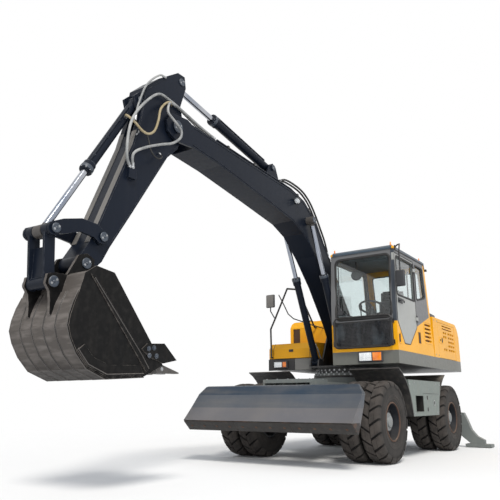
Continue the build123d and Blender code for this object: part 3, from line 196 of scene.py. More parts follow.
def noise(tree, scale, detail=4.0, stretch=(1, 1, 1)):
    """Noise on object coordinates, stretched by a Mapping node."""
    coords = tree.nodes.new("ShaderNodeTexCoord")
    mapping = tree.nodes.new("ShaderNodeMapping")
    mapping.inputs["Scale"].default_value = stretch
    tree.links.new(coords.outputs["Object"], mapping.inputs["Vector"])
    node = tree.nodes.new("ShaderNodeTexNoise")
    node.inputs["Scale"].default_value = scale
    node.inputs["Detail"].default_value = detail
    tree.links.new(mapping.outputs[0], node.inputs["Vector"])
    return node.outputs["Fac"]


paint_group, given, result = new_group(
    "paint_on_steel",
    [("Paint", "Color", (0.5, 0.5, 0.5, 1)), ("Edge", "Color", (0.3, 0.28, 0.26, 1)),
     ("Dust", "Color", (0.36, 0.31, 0.25, 1)), ("Edge wear", "Float", 0.5), ("Dust amount", "Float", 0.3),
     ("Gloss", "Float", 0.35), ("Rounding", "Float", 0.004)],
    [("Color", "Color"), ("Roughness", "Float"), ("Normal", "Vector")])
tree = paint_group
round_edges = tree.nodes.new("ShaderNodeBevel")
round_edges.samples = 4
tree.links.new(given.outputs["Rounding"], round_edges.inputs["Radius"])
surface = tree.nodes.new("ShaderNodeNewGeometry")
corner = tree.nodes.new("ShaderNodeVectorMath")
corner.operation = "DOT_PRODUCT"
tree.links.new(round_edges.outputs[0], corner.inputs[0])
tree.links.new(surface.outputs["Normal"], corner.inputs[1])
sharpness = span(tree, corner.outputs["Value"], 0.995, 0.90)
chips = span(tree, noise(tree, 14.0, 6.0), 0.44, 0.60)
worn = math_node(tree, "MULTIPLY", math_node(tree, "MULTIPLY", sharpness, chips), given.outputs["Edge wear"],
                 True)
split = tree.nodes.new("ShaderNodeSeparateXYZ")
tree.links.new(surface.outputs["Normal"], split.inputs[0])
upward = span(tree, split.outputs["Z"], -0.1, 0.95)
cloud = span(tree, noise(tree, 2.6, 8.0), 0.38, 0.70)
streak = span(tree, noise(tree, 5.0, 5.0, (3.0, 3.0, 0.35)), 0.48, 0.78)
settled = math_node(tree, "MAXIMUM", math_node(tree, "MULTIPLY", upward, cloud),
                    math_node(tree, "MULTIPLY", streak, 0.35))
dusty = math_node(tree, "MULTIPLY", settled, given.outputs["Dust amount"], True)
tone = span(tree, noise(tree, 1.1, 3.0), 0.3, 0.7, 0.90, 1.06)
shade = tree.nodes.new("ShaderNodeVectorMath")
shade.operation = "SCALE"
tree.links.new(given.outputs["Paint"], shade.inputs[0])
tree.links.new(tone, shade.inputs["Scale"])
with_dust = mix_colour(tree, dusty, shade.outputs[0], given.outputs["Dust"])
tree.links.new(mix_colour(tree, worn, with_dust, given.outputs["Edge"]), result.inputs["Color"])
rough = math_node(tree, "ADD", given.outputs["Gloss"], math_node(tree, "MULTIPLY", dusty, 0.5))
rough = math_node(tree, "ADD", rough, span(tree, noise(tree, 30.0, 3.0), 0.3, 0.7, -0.05, 0.07), True)
tree.links.new(rough, result.inputs["Roughness"])
peel = tree.nodes.new("ShaderNodeBump")
peel.inputs["Strength"].default_value = 0.05
peel.inputs["Distance"].default_value = 0.002
tree.links.new(noise(tree, 160.0, 2.0), peel.inputs["Height"])
tree.links.new(round_edges.outputs[0], peel.inputs["Normal"])
tree.links.new(peel.outputs[0], result.inputs["Normal"])


def paint(name, colour, edge=(0.30, 0.28, 0.26), wear=0.35, dust=0.25, gloss=0.38, rounding=0.004, coat=0.0,
          shine=0.5):
    """Painted steel, worn to the edge's colour along its corners; on the pin caps that edge colour is also a
    painted highlight.
    """
    made = bpy.data.materials.new(name)
    made.use_nodes = True
    tree = made.node_tree
    shader = tree.nodes["Principled BSDF"]
    shader.inputs["Coat Weight"].default_value = coat
    shader.inputs["Coat Roughness"].default_value = 0.15
    shader.inputs["Specular IOR Level"].default_value = shine
    finish = tree.nodes.new("ShaderNodeGroup")
    finish.name = "finish"
    finish.node_tree = paint_group
    finish.inputs["Paint"].default_value = (*colour, 1)
    finish.inputs["Edge"].default_value = (*edge, 1)
    finish.inputs["Edge wear"].default_value = wear
    finish.inputs["Dust amount"].default_value = dust
    finish.inputs["Gloss"].default_value = gloss
    finish.inputs["Rounding"].default_value = rounding
    tree.links.new(finish.outputs["Color"], shader.inputs["Base Color"])
    tree.links.new(finish.outputs["Roughness"], shader.inputs["Roughness"])
    tree.links.new(finish.outputs["Normal"], shader.inputs["Normal"])
    return made


def coat_node(material, *names):
    """Gives CAD nodes a finish."""
    for name in names:
        mesh = nodes[name].data
        if not mesh.materials:
            mesh.materials.append(material)
        for place in range(len(mesh.materials)):
            mesh.materials[place] = material


chassis_paint = paint("chassis_paint", (0.135, 0.150, 0.145), wear=0.4, dust=0.45, gloss=0.5)
coat_node(chassis_paint, "chassis", "outrigger_frame", "outrigger_left", "outrigger_right", "blade_barrels",
          "outrigger_barrel_left", "outrigger_barrel_right")


# Axles, drive line, steering and engine: cast iron and forged parts, bolted up under the chassis and the
# hood, in dark paint gone dull with oil and dust.
axle_iron = paint("axle_iron", (0.030, 0.030, 0.032), wear=0.5, dust=0.55, gloss=0.55)
coat_node(axle_iron, "front_axle", "rear_axle", "knuckle_left", "knuckle_right", "drive_line", "steering_rod")
engine_iron = paint("engine_iron", (0.055, 0.060, 0.062), wear=0.3, dust=0.4, gloss=0.5)
coat_node(engine_iron, "engine")


# Tyres: twin traction tyres, moulded in black rubber gone tan-grey with dust. Each has nineteen slanted lugs
# a side, cut in two blocks that run over the shoulder; the walls carry moulded rings.
def add_loft(shape, rings, closed=False, caps=True):
    """Quads between rings of points; closed joins the last ring to the first."""
    rows = [[shape.verts.new(point) for point in ring] for ring in rings]
    for first, second in zip(rows, rows[1:] + (rows[:1] if closed else [])):
        for i in range(len(first)):
            j = (i + 1) % len(first)
            shape.faces.new((first[i], first[j], second[j], second[i]))
    if caps and not closed:
        shape.faces.new(rows[0][::-1])
        shape.faces.new(rows[-1])
    return rows


def done(shape, name, body, material, soften=0.0, angle=38.0):
    """The finished piece: edges rounded, normals outward, shaded by angle, riding on its body when that is
    one name and on none otherwise.
    """
    bmesh.ops.recalc_face_normals(shape, faces=shape.faces)
    if soften:
        sharp = [e for e in shape.edges if len(e.link_faces) == 2 and e.calc_face_angle() > 0.7]
        bmesh.ops.bevel(shape, geom=sharp, offset=soften, segments=2, profile=0.6, affect="EDGES",
                        clamp_overlap=True)
    mesh = bpy.data.meshes.new(name)
    shape.to_mesh(mesh)
    shape.free()
    mesh.materials.append(material)
    mesh.shade_smooth()
    mesh.set_sharp_from_angle(angle=math.radians(angle))
    made = bpy.data.objects.new(name, mesh)
    bpy.context.scene.collection.objects.link(made)
    if isinstance(body, str):
        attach(made, body)
    else:
        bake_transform(made)
    return made


grain_group, given, result = new_group(
    "fine_grain",
    [("Scale", "Float", 70.0), ("Detail", "Float", 6.0), ("Strength", "Float", 0.35),
     ("Distance", "Float", 0.004)],
    [("Normal", "Vector")])
tree = grain_group
speckle = noise(tree, 70.0).node
bump = tree.nodes.new("ShaderNodeBump")
for title, node in (("Scale", speckle), ("Detail", speckle), ("Strength", bump), ("Distance", bump)):
    tree.links.new(given.outputs[title], node.inputs[title])
tree.links.new(speckle.outputs["Fac"], bump.inputs["Height"])
tree.links.new(bump.outputs[0], result.inputs["Normal"])


def effect(tree, group, **values):
    """A shader group placed in a material with its own values, each a number, a colour or a vector."""
    node = tree.nodes.new("ShaderNodeGroup")
    node.node_tree = group
    for title, value in values.items():
        node.inputs[title].default_value = value
    return node.outputs


def grain(tree, scale, detail, strength, distance):
    """A fine grain that roughens the surface."""
    made = effect(tree, grain_group, Scale=scale, Detail=detail, Strength=strength, Distance=distance)
    tree.links.new(made["Normal"], tree.nodes["Principled BSDF"].inputs["Normal"])


RUBBER_DARK = (0.004, 0.0036, 0.0032)
RUBBER_DUST = (0.056, 0.047, 0.041)
tyre_rubber = bpy.data.materials.new("tyre_rubber")
tyre_rubber.use_nodes = True
tree = tyre_rubber.node_tree
shader = tree.nodes["Principled BSDF"]
crown = tree.nodes.new("ShaderNodeAttribute")
crown.attribute_name = "crown"
scuff = span(tree, noise(tree, 9.0, 8.0), 0.34, 0.66, 0.45, 1.10)
share = math_node(tree, "MULTIPLY", crown.outputs["Fac"], scuff, True)
tree.links.new(mix_colour(tree, share, RUBBER_DARK, RUBBER_DUST), shader.inputs["Base Color"])
shader.inputs["Roughness"].default_value = 0.88
grain(tree, 70.0, 6.0, 0.35, 0.004)

TYRE_WALL = [
    # distance from the middle plane, radius, dust
    (0.1125, 0.2545, 0.15), (0.1215, 0.262, 0.35), (0.1255, 0.285, 0.5), (0.1305, 0.289, 0.55),
    (0.1330, 0.318, 0.45), (0.1370, 0.322, 0.6), (0.1380, 0.345, 0.5), (0.1352, 0.350, 0.35),
    (0.1370, 0.392, 0.35), (0.1360, 0.425, 0.3), (0.1310, 0.456, 0.22), (0.1240, 0.482, 0.12),
    (0.1100, 0.496, 0.05), (0.0700, 0.5005, 0.02), (0.0, 0.5015, 0.0),
]
LUG_BLOCKS = [
    # stations along a block: distance from the middle plane, top radius, dust on its top
    [(0.004, 0.5275, 1.0), (0.034, 0.5275, 1.0), (0.064, 0.5265, 1.0)],
    [(0.067, 0.5262, 1.0), (0.096, 0.5240, 1.0), (0.1130, 0.5190, 0.9), (0.1290, 0.5060, 0.75),
     (0.1375, 0.4860, 0.6), (0.1388, 0.4600, 0.5)],
]
LUGS = 19
LUG_SLANT = 0.078
TYRE_SIDES = 104


def add_tyre(shape, centre):
    """One tyre about a (x, y, z) centre, with the dust of each point in the layer crown."""
    crown_layer = shape.verts.layers.float.get("crown") or shape.verts.layers.float.new("crown")
    wall = [(-x, r, dust) for x, r, dust in TYRE_WALL] + TYRE_WALL[-2::-1]
    rings = []
    for x, r, dust in wall:
        turn = [2 * math.pi * i / TYRE_SIDES for i in range(TYRE_SIDES)]
        rings.append([Vector((centre[0] + x, centre[1] + r * math.sin(a),
                              centre[2] + r * math.cos(a))) for a in turn])
    for row, (x, r, dust) in zip(add_loft(shape, rings, closed=True), wall):
        for vertex in row:
            vertex[crown_layer] = dust
    for side, first in ((-1, 0.5), (1, 1.5)):
        for lug in range(LUGS):
            middle = (2 * lug + first) * math.pi / LUGS
            for block in LUG_BLOCKS:
                rings, tops = [], []
                for x, top, dust in block:
                    base = max(min(top - 0.026, 0.500), 0.452)
                    slant = LUG_SLANT * (min(x, 0.122) / 0.122 - 0.5)
                    ring = []
                    for r, half in ((base, 0.071), ((base + top) / 2, 0.069), (top, 0.064), (top, -0.064),
                                    ((base + top) / 2, -0.069), (base, -0.071)):
                        a = middle + (slant + half) / 0.5
                        ring.append((centre[0] + side * x, centre[1] + r * math.sin(a),
                                     centre[2] + r * math.cos(a)))
                    rings.append(ring)
                    tops.append(dust)
                for row, dust in zip(add_loft(shape, rings), tops):
                    for place, vertex in enumerate(row):
                        vertex[crown_layer] = dust if place in (2, 3) else dust * 0.35


WHEELS = [
    # name, side, axle y
    ("front_left", 1, -1.35), ("front_right", -1, -1.35), ("rear_left", 1, 1.35), ("rear_right", -1, 1.35),
]
AXLE_HEIGHT = 0.528
OUTER_TYRE = 1.111
INNER_TYRE = 0.791
for name, side, y in WHEELS:
    shape = bmesh.new()
    add_tyre(shape, (side * OUTER_TYRE, y, AXLE_HEIGHT))
    add_tyre(shape, (side * INNER_TYRE, y, AXLE_HEIGHT))
    tyres = done(shape, "tread_" + name, "wheel_" + name, tyre_rubber, angle=30.0)
    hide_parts("tyres_" + name)


# Wheels: pressed steel discs with a clamped lock ring, ten nuts and a cast hub cap. The rim's outer ring has
# gone to rust; the hubs are wiped down to light grey, and the nuts and the cap's bolts are bright steel.
def add_box(shape, x, y, z, turn=None):
    """A box from (low, high) pairs, turned about its middle."""
    middle = Vector(((x[0] + x[1]) / 2, (y[0] + y[1]) / 2, (z[0] + z[1]) / 2))
    size = Matrix.Diagonal((x[1] - x[0], y[1] - y[0], z[1] - z[0], 1))
    bmesh.ops.create_cube(shape, size=1.0,
                          matrix=Matrix.Translation(middle) @ (turn or Matrix.Identity(4)) @ size)


def add_turned(shape, profile, centre, axis, sides=32, closed=False):
    """A turned form: (distance along the axis, radius) pairs about a centre."""
    axis = Vector(axis).normalized()
    across = axis.orthogonal().normalized()
    other = axis.cross(across)
    rings = []
    for distance, radius in profile:
        turn = [2 * math.pi * i / sides for i in range(sides)]
        hub = Vector(centre) + axis * distance
        rings.append([hub + (across * math.cos(a) + other * math.sin(a)) * max(radius, 0.0002) for a in turn])
    add_loft(shape, rings, closed=closed)


def add_rod(shape, start, end, radius, sides=16):
    """A round bar between two points."""
    length = (Vector(end) - Vector(start)).length
    add_turned(shape, [(0, radius), (length, radius)], start, Vector(end) - Vector(start), sides)


def bolt_group():
    """Geometry nodes: a washer and a hexagon head on each point, square to its axis attribute."""
    group = bpy.data.node_groups.new("hexagon_heads", "GeometryNodeTree")
    group.interface.new_socket("Points", in_out="INPUT", socket_type="NodeSocketGeometry")
    for title, value in (("Radius", 0.012), ("Height", 0.010)):
        group.interface.new_socket(title, in_out="INPUT", socket_type="NodeSocketFloat").default_value = value
    group.interface.new_socket("Seed", in_out="INPUT", socket_type="NodeSocketInt").default_value = 7
    group.interface.new_socket("Finish", in_out="INPUT", socket_type="NodeSocketMaterial")
    group.interface.new_socket("Heads", in_out="OUTPUT", socket_type="NodeSocketGeometry")
    given, result = group.nodes.new("NodeGroupInput"), group.nodes.new("NodeGroupOutput")
    both = group.nodes.new("GeometryNodeJoinGeometry")
    for sides, wide, tall in ((20, 1.45, 0.3), (6, 1.0, 1.0)):
        drum = group.nodes.new("GeometryNodeMeshCylinder")
        drum.inputs["Vertices"].default_value = sides
        group.links.new(math_node(group, "MULTIPLY", given.outputs["Radius"], wide), drum.inputs["Radius"])
        depth = math_node(group, "MULTIPLY", given.outputs["Height"], tall)
        group.links.new(depth, drum.inputs["Depth"])
        lift = group.nodes.new("ShaderNodeCombineXYZ")
        group.links.new(math_node(group, "MULTIPLY", depth, 0.5), lift.inputs["Z"])
        seat = group.nodes.new("GeometryNodeTransform")
        group.links.new(drum.outputs["Mesh"], seat.inputs["Geometry"])
        group.links.new(lift.outputs[0], seat.inputs["Translation"])
        group.links.new(seat.outputs[0], both.inputs[0])
    axis = group.nodes.new("GeometryNodeInputNamedAttribute")
    axis.data_type = "FLOAT_VECTOR"
    axis.inputs["Name"].default_value = "axis"
    square = group.nodes.new("FunctionNodeAlignRotationToVector")
    square.axis = "Z"
    group.links.new(axis.outputs["Attribute"], square.inputs["Vector"])
    chance = group.nodes.new("FunctionNodeRandomValue")
    chance.inputs[3].default_value = math.pi
    group.links.new(given.outputs["Seed"], chance.inputs["Seed"])
    spin = group.nodes.new("FunctionNodeAxisAngleToRotation")
    group.links.new(chance.outputs[1], spin.inputs["Angle"])
    turned = group.nodes.new("FunctionNodeRotateRotation")
    turned.rotation_space = "LOCAL"
    group.links.new(square.outputs[0], turned.inputs["Rotation"])
    group.links.new(spin.outputs[0], turned.inputs["Rotate By"])
    place = group.nodes.new("GeometryNodeInstanceOnPoints")
    group.links.new(given.outputs["Points"], place.inputs["Points"])
    group.links.new(both.outputs[0], place.inputs["Instance"])
    group.links.new(turned.outputs[0], place.inputs["Rotation"])
    real = group.nodes.new("GeometryNodeRealizeInstances")
    group.links.new(place.outputs[0], real.inputs[0])
    finish = group.nodes.new("GeometryNodeSetMaterial")
    group.links.new(real.outputs[0], finish.inputs["Geometry"])
    group.links.new(given.outputs["Finish"], finish.inputs["Material"])
    group.links.new(finish.outputs[0], result.inputs["Heads"])
    return group


HEADS = bolt_group()


def bolts(name, body, places, radius, height, material, seed=7):
    """Bolt heads at (point, axis) places, made plain mesh."""
    points = bpy.data.meshes.new(name + "_points")
    points.from_pydata([tuple(point) for point, axis in places], [], [])
    axes = points.attributes.new("axis", "FLOAT_VECTOR", "POINT")
    axes.data.foreach_set("vector", [number for point, axis in places for number in axis])
    carrier = bpy.data.objects.new(name + "_points", points)
    bpy.context.scene.collection.objects.link(carrier)
    heads = carrier.modifiers.new("heads", "NODES")
    values = {"Radius": radius, "Height": height, "Seed": seed, "Finish": material}
    heads.node_group = HEADS
    for item in HEADS.interface.items_tree:
        if item.in_out == "INPUT" and item.name in values:
            heads[item.identifier] = values[item.name]
    carrier.update_tag()
    real = carrier.evaluated_get(bpy.context.evaluated_depsgraph_get())
    mesh = bpy.data.meshes.new_from_object(real)
    bpy.data.objects.remove(carrier)
    mesh.name = name
    made = bpy.data.objects.new(name, mesh)
    bpy.context.scene.collection.objects.link(made)
    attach(made, body)
    return made


def circle(centre, axis, radius, count, first=0.0):
    """(point, axis) places round a circle."""
    axis = Vector(axis).normalized()
    across = axis.orthogonal().normalized()
    other = axis.cross(across)
    turn = [first + 2 * math.pi * i / count for i in range(count)]
    return [(Vector(centre) + (across * math.cos(a) + other * math.sin(a)) * radius, axis) for a in turn]


metal_group, given, result = new_group(
    "bare_metal",
    [("Bright", "Color", (0.44, 0.45, 0.46, 1)), ("Dull", "Color", (0.33, 0.34, 0.35, 1)),
     ("Scale", "Float", 24.0), ("Smooth", "Float", 0.3), ("Rough", "Float", 0.5)],
    [("Color", "Color"), ("Roughness", "Float")])
tree = metal_group
patch = noise(tree, 24.0, 6.0)
tree.links.new(given.outputs["Scale"], patch.node.inputs["Scale"])
mixed = mix_colour(tree, span(tree, patch, 0.35, 0.65), given.outputs["Dull"], given.outputs["Bright"])
tree.links.new(mixed, result.inputs["Color"])
gloss = span(tree, patch, 0.3, 0.7).node
tree.links.new(given.outputs["Rough"], gloss.inputs["To Min"])
tree.links.new(given.outputs["Smooth"], gloss.inputs["To Max"])
tree.links.new(gloss.outputs[0], result.inputs["Roughness"])


def metal(name, colour, low, high, mottle=0.75, scale=24.0):
    """Bare metal, its roughness between low and high and its colour mottled."""
    made = bpy.data.materials.new(name)
    made.use_nodes = True
    tree = made.node_tree
    shader = tree.nodes["Principled BSDF"]
    shader.inputs["Metallic"].default_value = 0.85
    darker = tuple(c * mottle for c in colour)
    worn = effect(tree, metal_group, Bright=(*colour, 1), Dull=(*darker, 1), Scale=scale, Smooth=low,
                  Rough=high)
    tree.links.new(worn["Color"], shader.inputs["Base Color"])
    tree.links.new(worn["Roughness"], shader.inputs["Roughness"])
    return made


rim_paint = paint("rim_paint", (0.014, 0.016, 0.020), wear=0.3, dust=0.12, gloss=0.5, shine=0.25)
coat_node(rim_paint, "rims_front_left", "rims_front_right", "rims_rear_left", "rims_rear_right")
zinc = metal("zinc", (0.44, 0.45, 0.46), 0.30, 0.52)
rust_ring = paint("rust_ring", (0.060, 0.026, 0.013), edge=(0.14, 0.06, 0.03), wear=0.6, dust=0.4, gloss=0.7,
                  rounding=0.002)
hub_grey = paint("hub_grey", (0.17, 0.18, 0.18), edge=(0.4, 0.4, 0.4), wear=0.5, dust=0.35, gloss=0.45,
                 rounding=0.002)
LOCK_RING = [(0.0, 0.2525), (0.008, 0.2545), (0.013, 0.248), (0.012, 0.236), (0.002, 0.232), (-0.006, 0.236)]
HUB_CAP = [(-0.002, 0.117), (0.006, 0.115), (0.010, 0.098), (0.012, 0.080), (0.030, 0.074), (0.036, 0.060),
           (0.038, 0.0)]
DISC_RING = [(0.0, 0.212), (0.006, 0.209), (0.006, 0.160), (0.0, 0.157)]
for name, side, y in WHEELS:
    wheel = "wheel_" + name
    out = (side, 0, 0)
    shape = bmesh.new()
    add_turned(shape, LOCK_RING, (side * 1.2225, y, AXLE_HEIGHT), out, 72, closed=True)
    done(shape, "lock_ring_" + name, wheel, rust_ring, angle=50.0)
    shape = bmesh.new()
    add_turned(shape, HUB_CAP, (side * 1.165, y, AXLE_HEIGHT), out, 48)
    add_turned(shape, DISC_RING, (side * 1.095, y, AXLE_HEIGHT), out, 64)
    done(shape, "hub_cap_" + name, wheel, hub_grey, angle=40.0)
    nuts = circle((side * 1.101, y, AXLE_HEIGHT), out, 0.185, 10)
    bolts("wheel_nuts_" + name, wheel, nuts, 0.0145, 0.026, zinc)
    cap_bolts = circle((side * 1.172, y, AXLE_HEIGHT), out, 0.092, 8)
    bolts("hub_bolts_" + name, wheel, cap_bolts, 0.008, 0.008, zinc)


# Chassis nose: a flat steel cover over the blade's linkage, between two rows of five bolts, in the chassis's
# paint.
places = [((x, y, 1.080), (0, 0, 1)) for x in (-0.34, -0.17, 0.0, 0.17, 0.34) for y in (-1.575, -1.965)]
bolts("nose_bolts", "undercarriage", places, 0.011, 0.008, zinc)
shape = bmesh.new()
add_box(shape, (-0.20, 0.20), (-1.90, -1.64), (1.0795, 1.0855))
done(shape, "nose_cover", "undercarriage", chassis_paint, soften=0.002)


# Slewing ring: a forged ring bolted down to the chassis's pedestal by a close row of studs, with one row
# round its side and one into the race above, oiled black between them.
ring_black = paint("ring_black", (0.012, 0.012, 0.013), edge=(0.10, 0.10, 0.10), wear=0.4, dust=0.25,
                   gloss=0.5, rounding=0.002)
shape = bmesh.new()
add_turned(shape, [(0.0, 0.5605), (0.0, 0.5695), (0.014, 0.5745), (0.028, 0.5745), (0.034, 0.5700),
                   (0.034, 0.5605)], (0, 0, 1.1505), (0, 0, 1), 96, closed=True)
done(shape, "ring_flange", "undercarriage", ring_black)
bolts("ring_studs_low", "undercarriage", circle((0, 0, 1.222), (0, 0, 1), 0.5478, 36), 0.0095, 0.020, zinc)
for name, body, height, radius, slot in (("ring_studs_side", "undercarriage", 1.196, 0.5603, "axle_iron"),
                                         ("race_studs", "upper", 1.268, 0.5353, "navy_paint")):
    outward = [(point, Vector((point[0], point[1], 0)).normalized())
               for point, axis in circle((0, 0, height), (0, 0, 1), radius, 40)]
    bolts(name, body, outward, 0.010, 0.012, zinc)


# Blade: rolled plate in blue-grey paint, bent in facets. Each facet has its own tone as painted light and
# shade, darkest at the top and lightest at the bottom, and the plate is scuffed lighter in patches. The
# underside of its edge is painted near-black as shade, with rust. A separate hard strip is held along its
# edge by plough bolts from below, and weld beads close the ends.
def place_axes(tree):
    """X, Y and Z of the surface point."""
    coords = tree.nodes.new("ShaderNodeTexCoord")
    split = tree.nodes.new("ShaderNodeSeparateXYZ")
    tree.links.new(coords.outputs["Object"], split.inputs[0])
    return split.outputs


def recolour(material, colour):
    """Gives a painted material a colour that changes over the piece."""
    tree = material.node_tree
    tree.links.new(colour, tree.nodes["finish"].inputs["Paint"])


blade_paint = paint("blade_paint", (0.062, 0.072, 0.088), wear=0.5, dust=0.10, gloss=0.42, rounding=0.005,
                    shine=0.25)
tree = blade_paint.node_tree
x, y, z = place_axes(tree)
# The edge's underside is painted near-black as shade, mixed with patches of real rust.
underside_shade = math_node(tree, "MULTIPLY", span(tree, z, 0.547, 0.537), span(tree, y, -2.44, -2.46))
rust = span(tree, noise(tree, 7.0, 8.0, (0.5, 2, 2)), 0.5, 0.72)
lip = mix_colour(tree, rust, (0.016, 0.013, 0.012), (0.085, 0.036, 0.016))
scuffed = span(tree, noise(tree, 3.0, 8.0, (0.35, 2.0, 3.0)), 0.45, 0.8, 0.0, 0.5)
# Each facet gets its own painted light and shade: darkest on the top facet, lightest on the lowest.
facet_shading = mix_colour(tree, span(tree, z, 0.868, 0.876), (0.058, 0.068, 0.084), (0.018, 0.032, 0.052))
facet_shading = mix_colour(tree, span(tree, z, 0.702, 0.710), (0.104, 0.103, 0.112), facet_shading)
face = mix_colour(tree, scuffed, facet_shading, (0.120, 0.112, 0.104))
recolour(blade_paint, mix_colour(tree, underside_shade, face, lip))
coat_node(blade_paint, "blade")
# The strip's near-black is the same painted shade as the underside it covers; its edges are rusty.
wear_strip = paint("blade_wear_strip", (0.014, 0.012, 0.011), edge=(0.20, 0.085, 0.035), wear=0.7, dust=0.15,
                   gloss=0.6, rounding=0.002)
along_lip = Vector((0, -0.1440, 0.1290)).normalized()
down = Vector((0, -along_lip.z, along_lip.y))
low, high = Vector((0, -2.5235, 0.4170)), Vector((0, -2.6525, 0.5325))
outline = [low + down * 0.001, low + down * 0.007, high + down * 0.007, high + down * 0.001]
shape = bmesh.new()
for ends in ((-1.248, -0.418), (-0.415, 0.415), (0.418, 1.248)):
    add_loft(shape, [[Vector((x, p.y, p.z)) for p in outline] for x in ends])
done(shape, "blade_wear_strips", "blade", wear_strip, soften=0.0015)
places = [(Vector((-1.15 + i * 2.3 / 11, -2.586, 0.4732)) + down * 0.007, down) for i in range(12)]
bolts("plough_bolts", "blade", places, 0.013, 0.005, rust_ring)


def add_bead(shape, points, radius, sides=6):
    """A weld bead or fine tube along straight runs, mitred at its corners."""
    points = [Vector(p) for p in points]
    rings = []
    for i, here in enumerate(points):
        before = (here - points[i - 1]).normalized() if i else (points[1] - here).normalized()
        after = (points[i + 1] - here).normalized() if i + 1 < len(points) else before
        along = (before + after).normalized()
        if not rings:
            across = along.orthogonal().normalized()
        across = (across - along * across.dot(along)).normalized()
        other = along.cross(across)
        turn = [2 * math.pi * k / sides for k in range(sides)]
        rings.append([here + (across * math.cos(a) + other * math.sin(a)) * radius for a in turn])
    add_loft(shape, rings)


shape = bmesh.new()
for x in (-1.2495, 1.2495):
    add_bead(shape, [(x, -2.262, 0.868), (x, -2.350, 0.865), (x, -2.4925, 0.706), (x, -2.655, 0.541)], 0.0045)
for x in (-0.34, -0.30, 0.30, 0.34):
    add_bead(shape, [(x, -2.232, 0.880), (x, -2.306, 0.738)], 0.005)
done(shape, "blade_welds", "blade", blade_paint, angle=80.0)


# Step boxes: folded sheet with a stamped step well and its treads, two door catches, a lashing ring and a
# bolted mudguard. The box is pale green, the mudguard's arch is black with road dirt, and the step well with
# its treads is painted near-black as shade.
STEP_GREEN = (0.150, 0.178, 0.162)
GUARD_BLACK = (0.022, 0.021, 0.021)
step_paint = paint("step_box_paint", STEP_GREEN, wear=0.3, dust=0.4, gloss=0.48)
tree = step_paint.node_tree
x, y, z = place_axes(tree)
along = math_node(tree, "SUBTRACT", math_node(tree, "ABSOLUTE", y), 1.35)
above = math_node(tree, "SUBTRACT", z, AXLE_HEIGHT)
radius = math_node(tree, "SQRT", math_node(tree, "ADD", math_node(tree, "MULTIPLY", along, along),
                                           math_node(tree, "MULTIPLY", above, above)))
on_arch = math_node(tree, "LESS_THAN", radius, 0.7665)
in_well = math_node(tree, "LESS_THAN", math_node(tree, "ABSOLUTE", math_node(tree, "ADD", y, 0.304)), 0.172)
# The step well's recessed faces and its treads are painted near-black as shade.
step_well_shade = math_node(tree, "MULTIPLY", span(tree, math_node(tree, "ABSOLUTE", x), 1.2470, 1.2462), in_well)
step_well_shade = math_node(tree, "MULTIPLY", step_well_shade, math_node(tree, "LESS_THAN", z, 0.870))
box_colour = mix_colour(tree, on_arch, STEP_GREEN, GUARD_BLACK)
recolour(step_paint, mix_colour(tree, step_well_shade, box_colour, (0.006, 0.006, 0.006)))
coat_node(step_paint, "step_box_left", "step_box_right")


def on_face(x, places):
    """Points of a face square to X, from (y, z) places."""
    return [(x, y, z) for y, z in places]


latch_black = paint("latch_black", (0.010, 0.010, 0.011), edge=(0.2, 0.2, 0.2), wear=0.5, dust=0.2,
                    gloss=0.45, rounding=0.001)
STEP_WELL = ((-0.479, 0.637), (-0.129, 0.637), (-0.129, 0.872), (-0.479, 0.872), (-0.479, 0.637))
BOX_BOLTS = ((-0.70, 1.03), (-0.52, 1.05), (0.50, 1.05), (0.68, 1.04), (-0.54, 0.62), (0.50, 0.62))
for name, side in (("left", 1), ("right", -1)):
    shape = bmesh.new()
    for z in (0.672, 0.842):
        add_box(shape, sorted((side * 1.2495, side * 1.256)), (0.034, 0.064), (z - 0.028, z + 0.028))
    add_box(shape, sorted((side * 1.2495, side * 1.254)), (-0.135, 0.62), (0.9005, 0.9045))
    done(shape, "box_catches_" + name, "undercarriage", latch_black, soften=0.002)
    shape = bmesh.new()
    add_bead(shape, on_face(side * 1.2505, STEP_WELL), 0.0045)
    for i in range(7):
        y = -0.440 + i * 0.045
        add_box(shape, sorted((side * 1.090, side * 1.235)), (y, y + 0.018), (0.6428, 0.6475))
    done(shape, "step_treads_" + name, "undercarriage", step_paint, soften=0.001)
    shape = bmesh.new()
    ring = [(0.0, 0.0305), (0.0, 0.041), (0.004, 0.041), (0.004, 0.0305)]
    add_turned(shape, ring, (side * 1.2498, 0.3672, 0.764), (side, 0, 0), 32, closed=True)
    done(shape, "lashing_ring_" + name, "undercarriage", zinc)
    places = [(point, (side, 0, 0)) for point in on_face(side * 1.2500, BOX_BOLTS)]
    bolts("box_bolts_" + name, "undercarriage", places, 0.009, 0.007, zinc)


# Platform: the deck is welded plate, its skirt in grey and its webs and slewing race in near-black. The panel
# ahead of the tank is pressed sheet, black with a grey inner end.
SKIRT_GREY = (0.115, 0.118, 0.105)
platform_paint = paint("platform_paint", SKIRT_GREY, wear=0.3, dust=0.3, gloss=0.42)
tree = platform_paint.node_tree
x, y, z = place_axes(tree)
skirt_zone = math_node(tree, "MAXIMUM", math_node(tree, "GREATER_THAN", x, 1.2),
                       math_node(tree, "LESS_THAN", y, -0.95))
recolour(platform_paint, mix_colour(tree, skirt_zone, (0.016, 0.017, 0.020), SKIRT_GREY))
coat_node(platform_paint, "platform")
panel_paint = paint("panel_paint", (0.014, 0.014, 0.015), edge=(0.09, 0.09, 0.09), wear=0.3, dust=0.2,
                    gloss=0.45)
tree = panel_paint.node_tree
x, y, z = place_axes(tree)
inner_end = math_node(tree, "GREATER_THAN", x, -0.740)
recolour(panel_paint, mix_colour(tree, inner_end, (0.012, 0.012, 0.013), (0.150, 0.148, 0.140)))
coat_node(panel_paint, "front_panel")


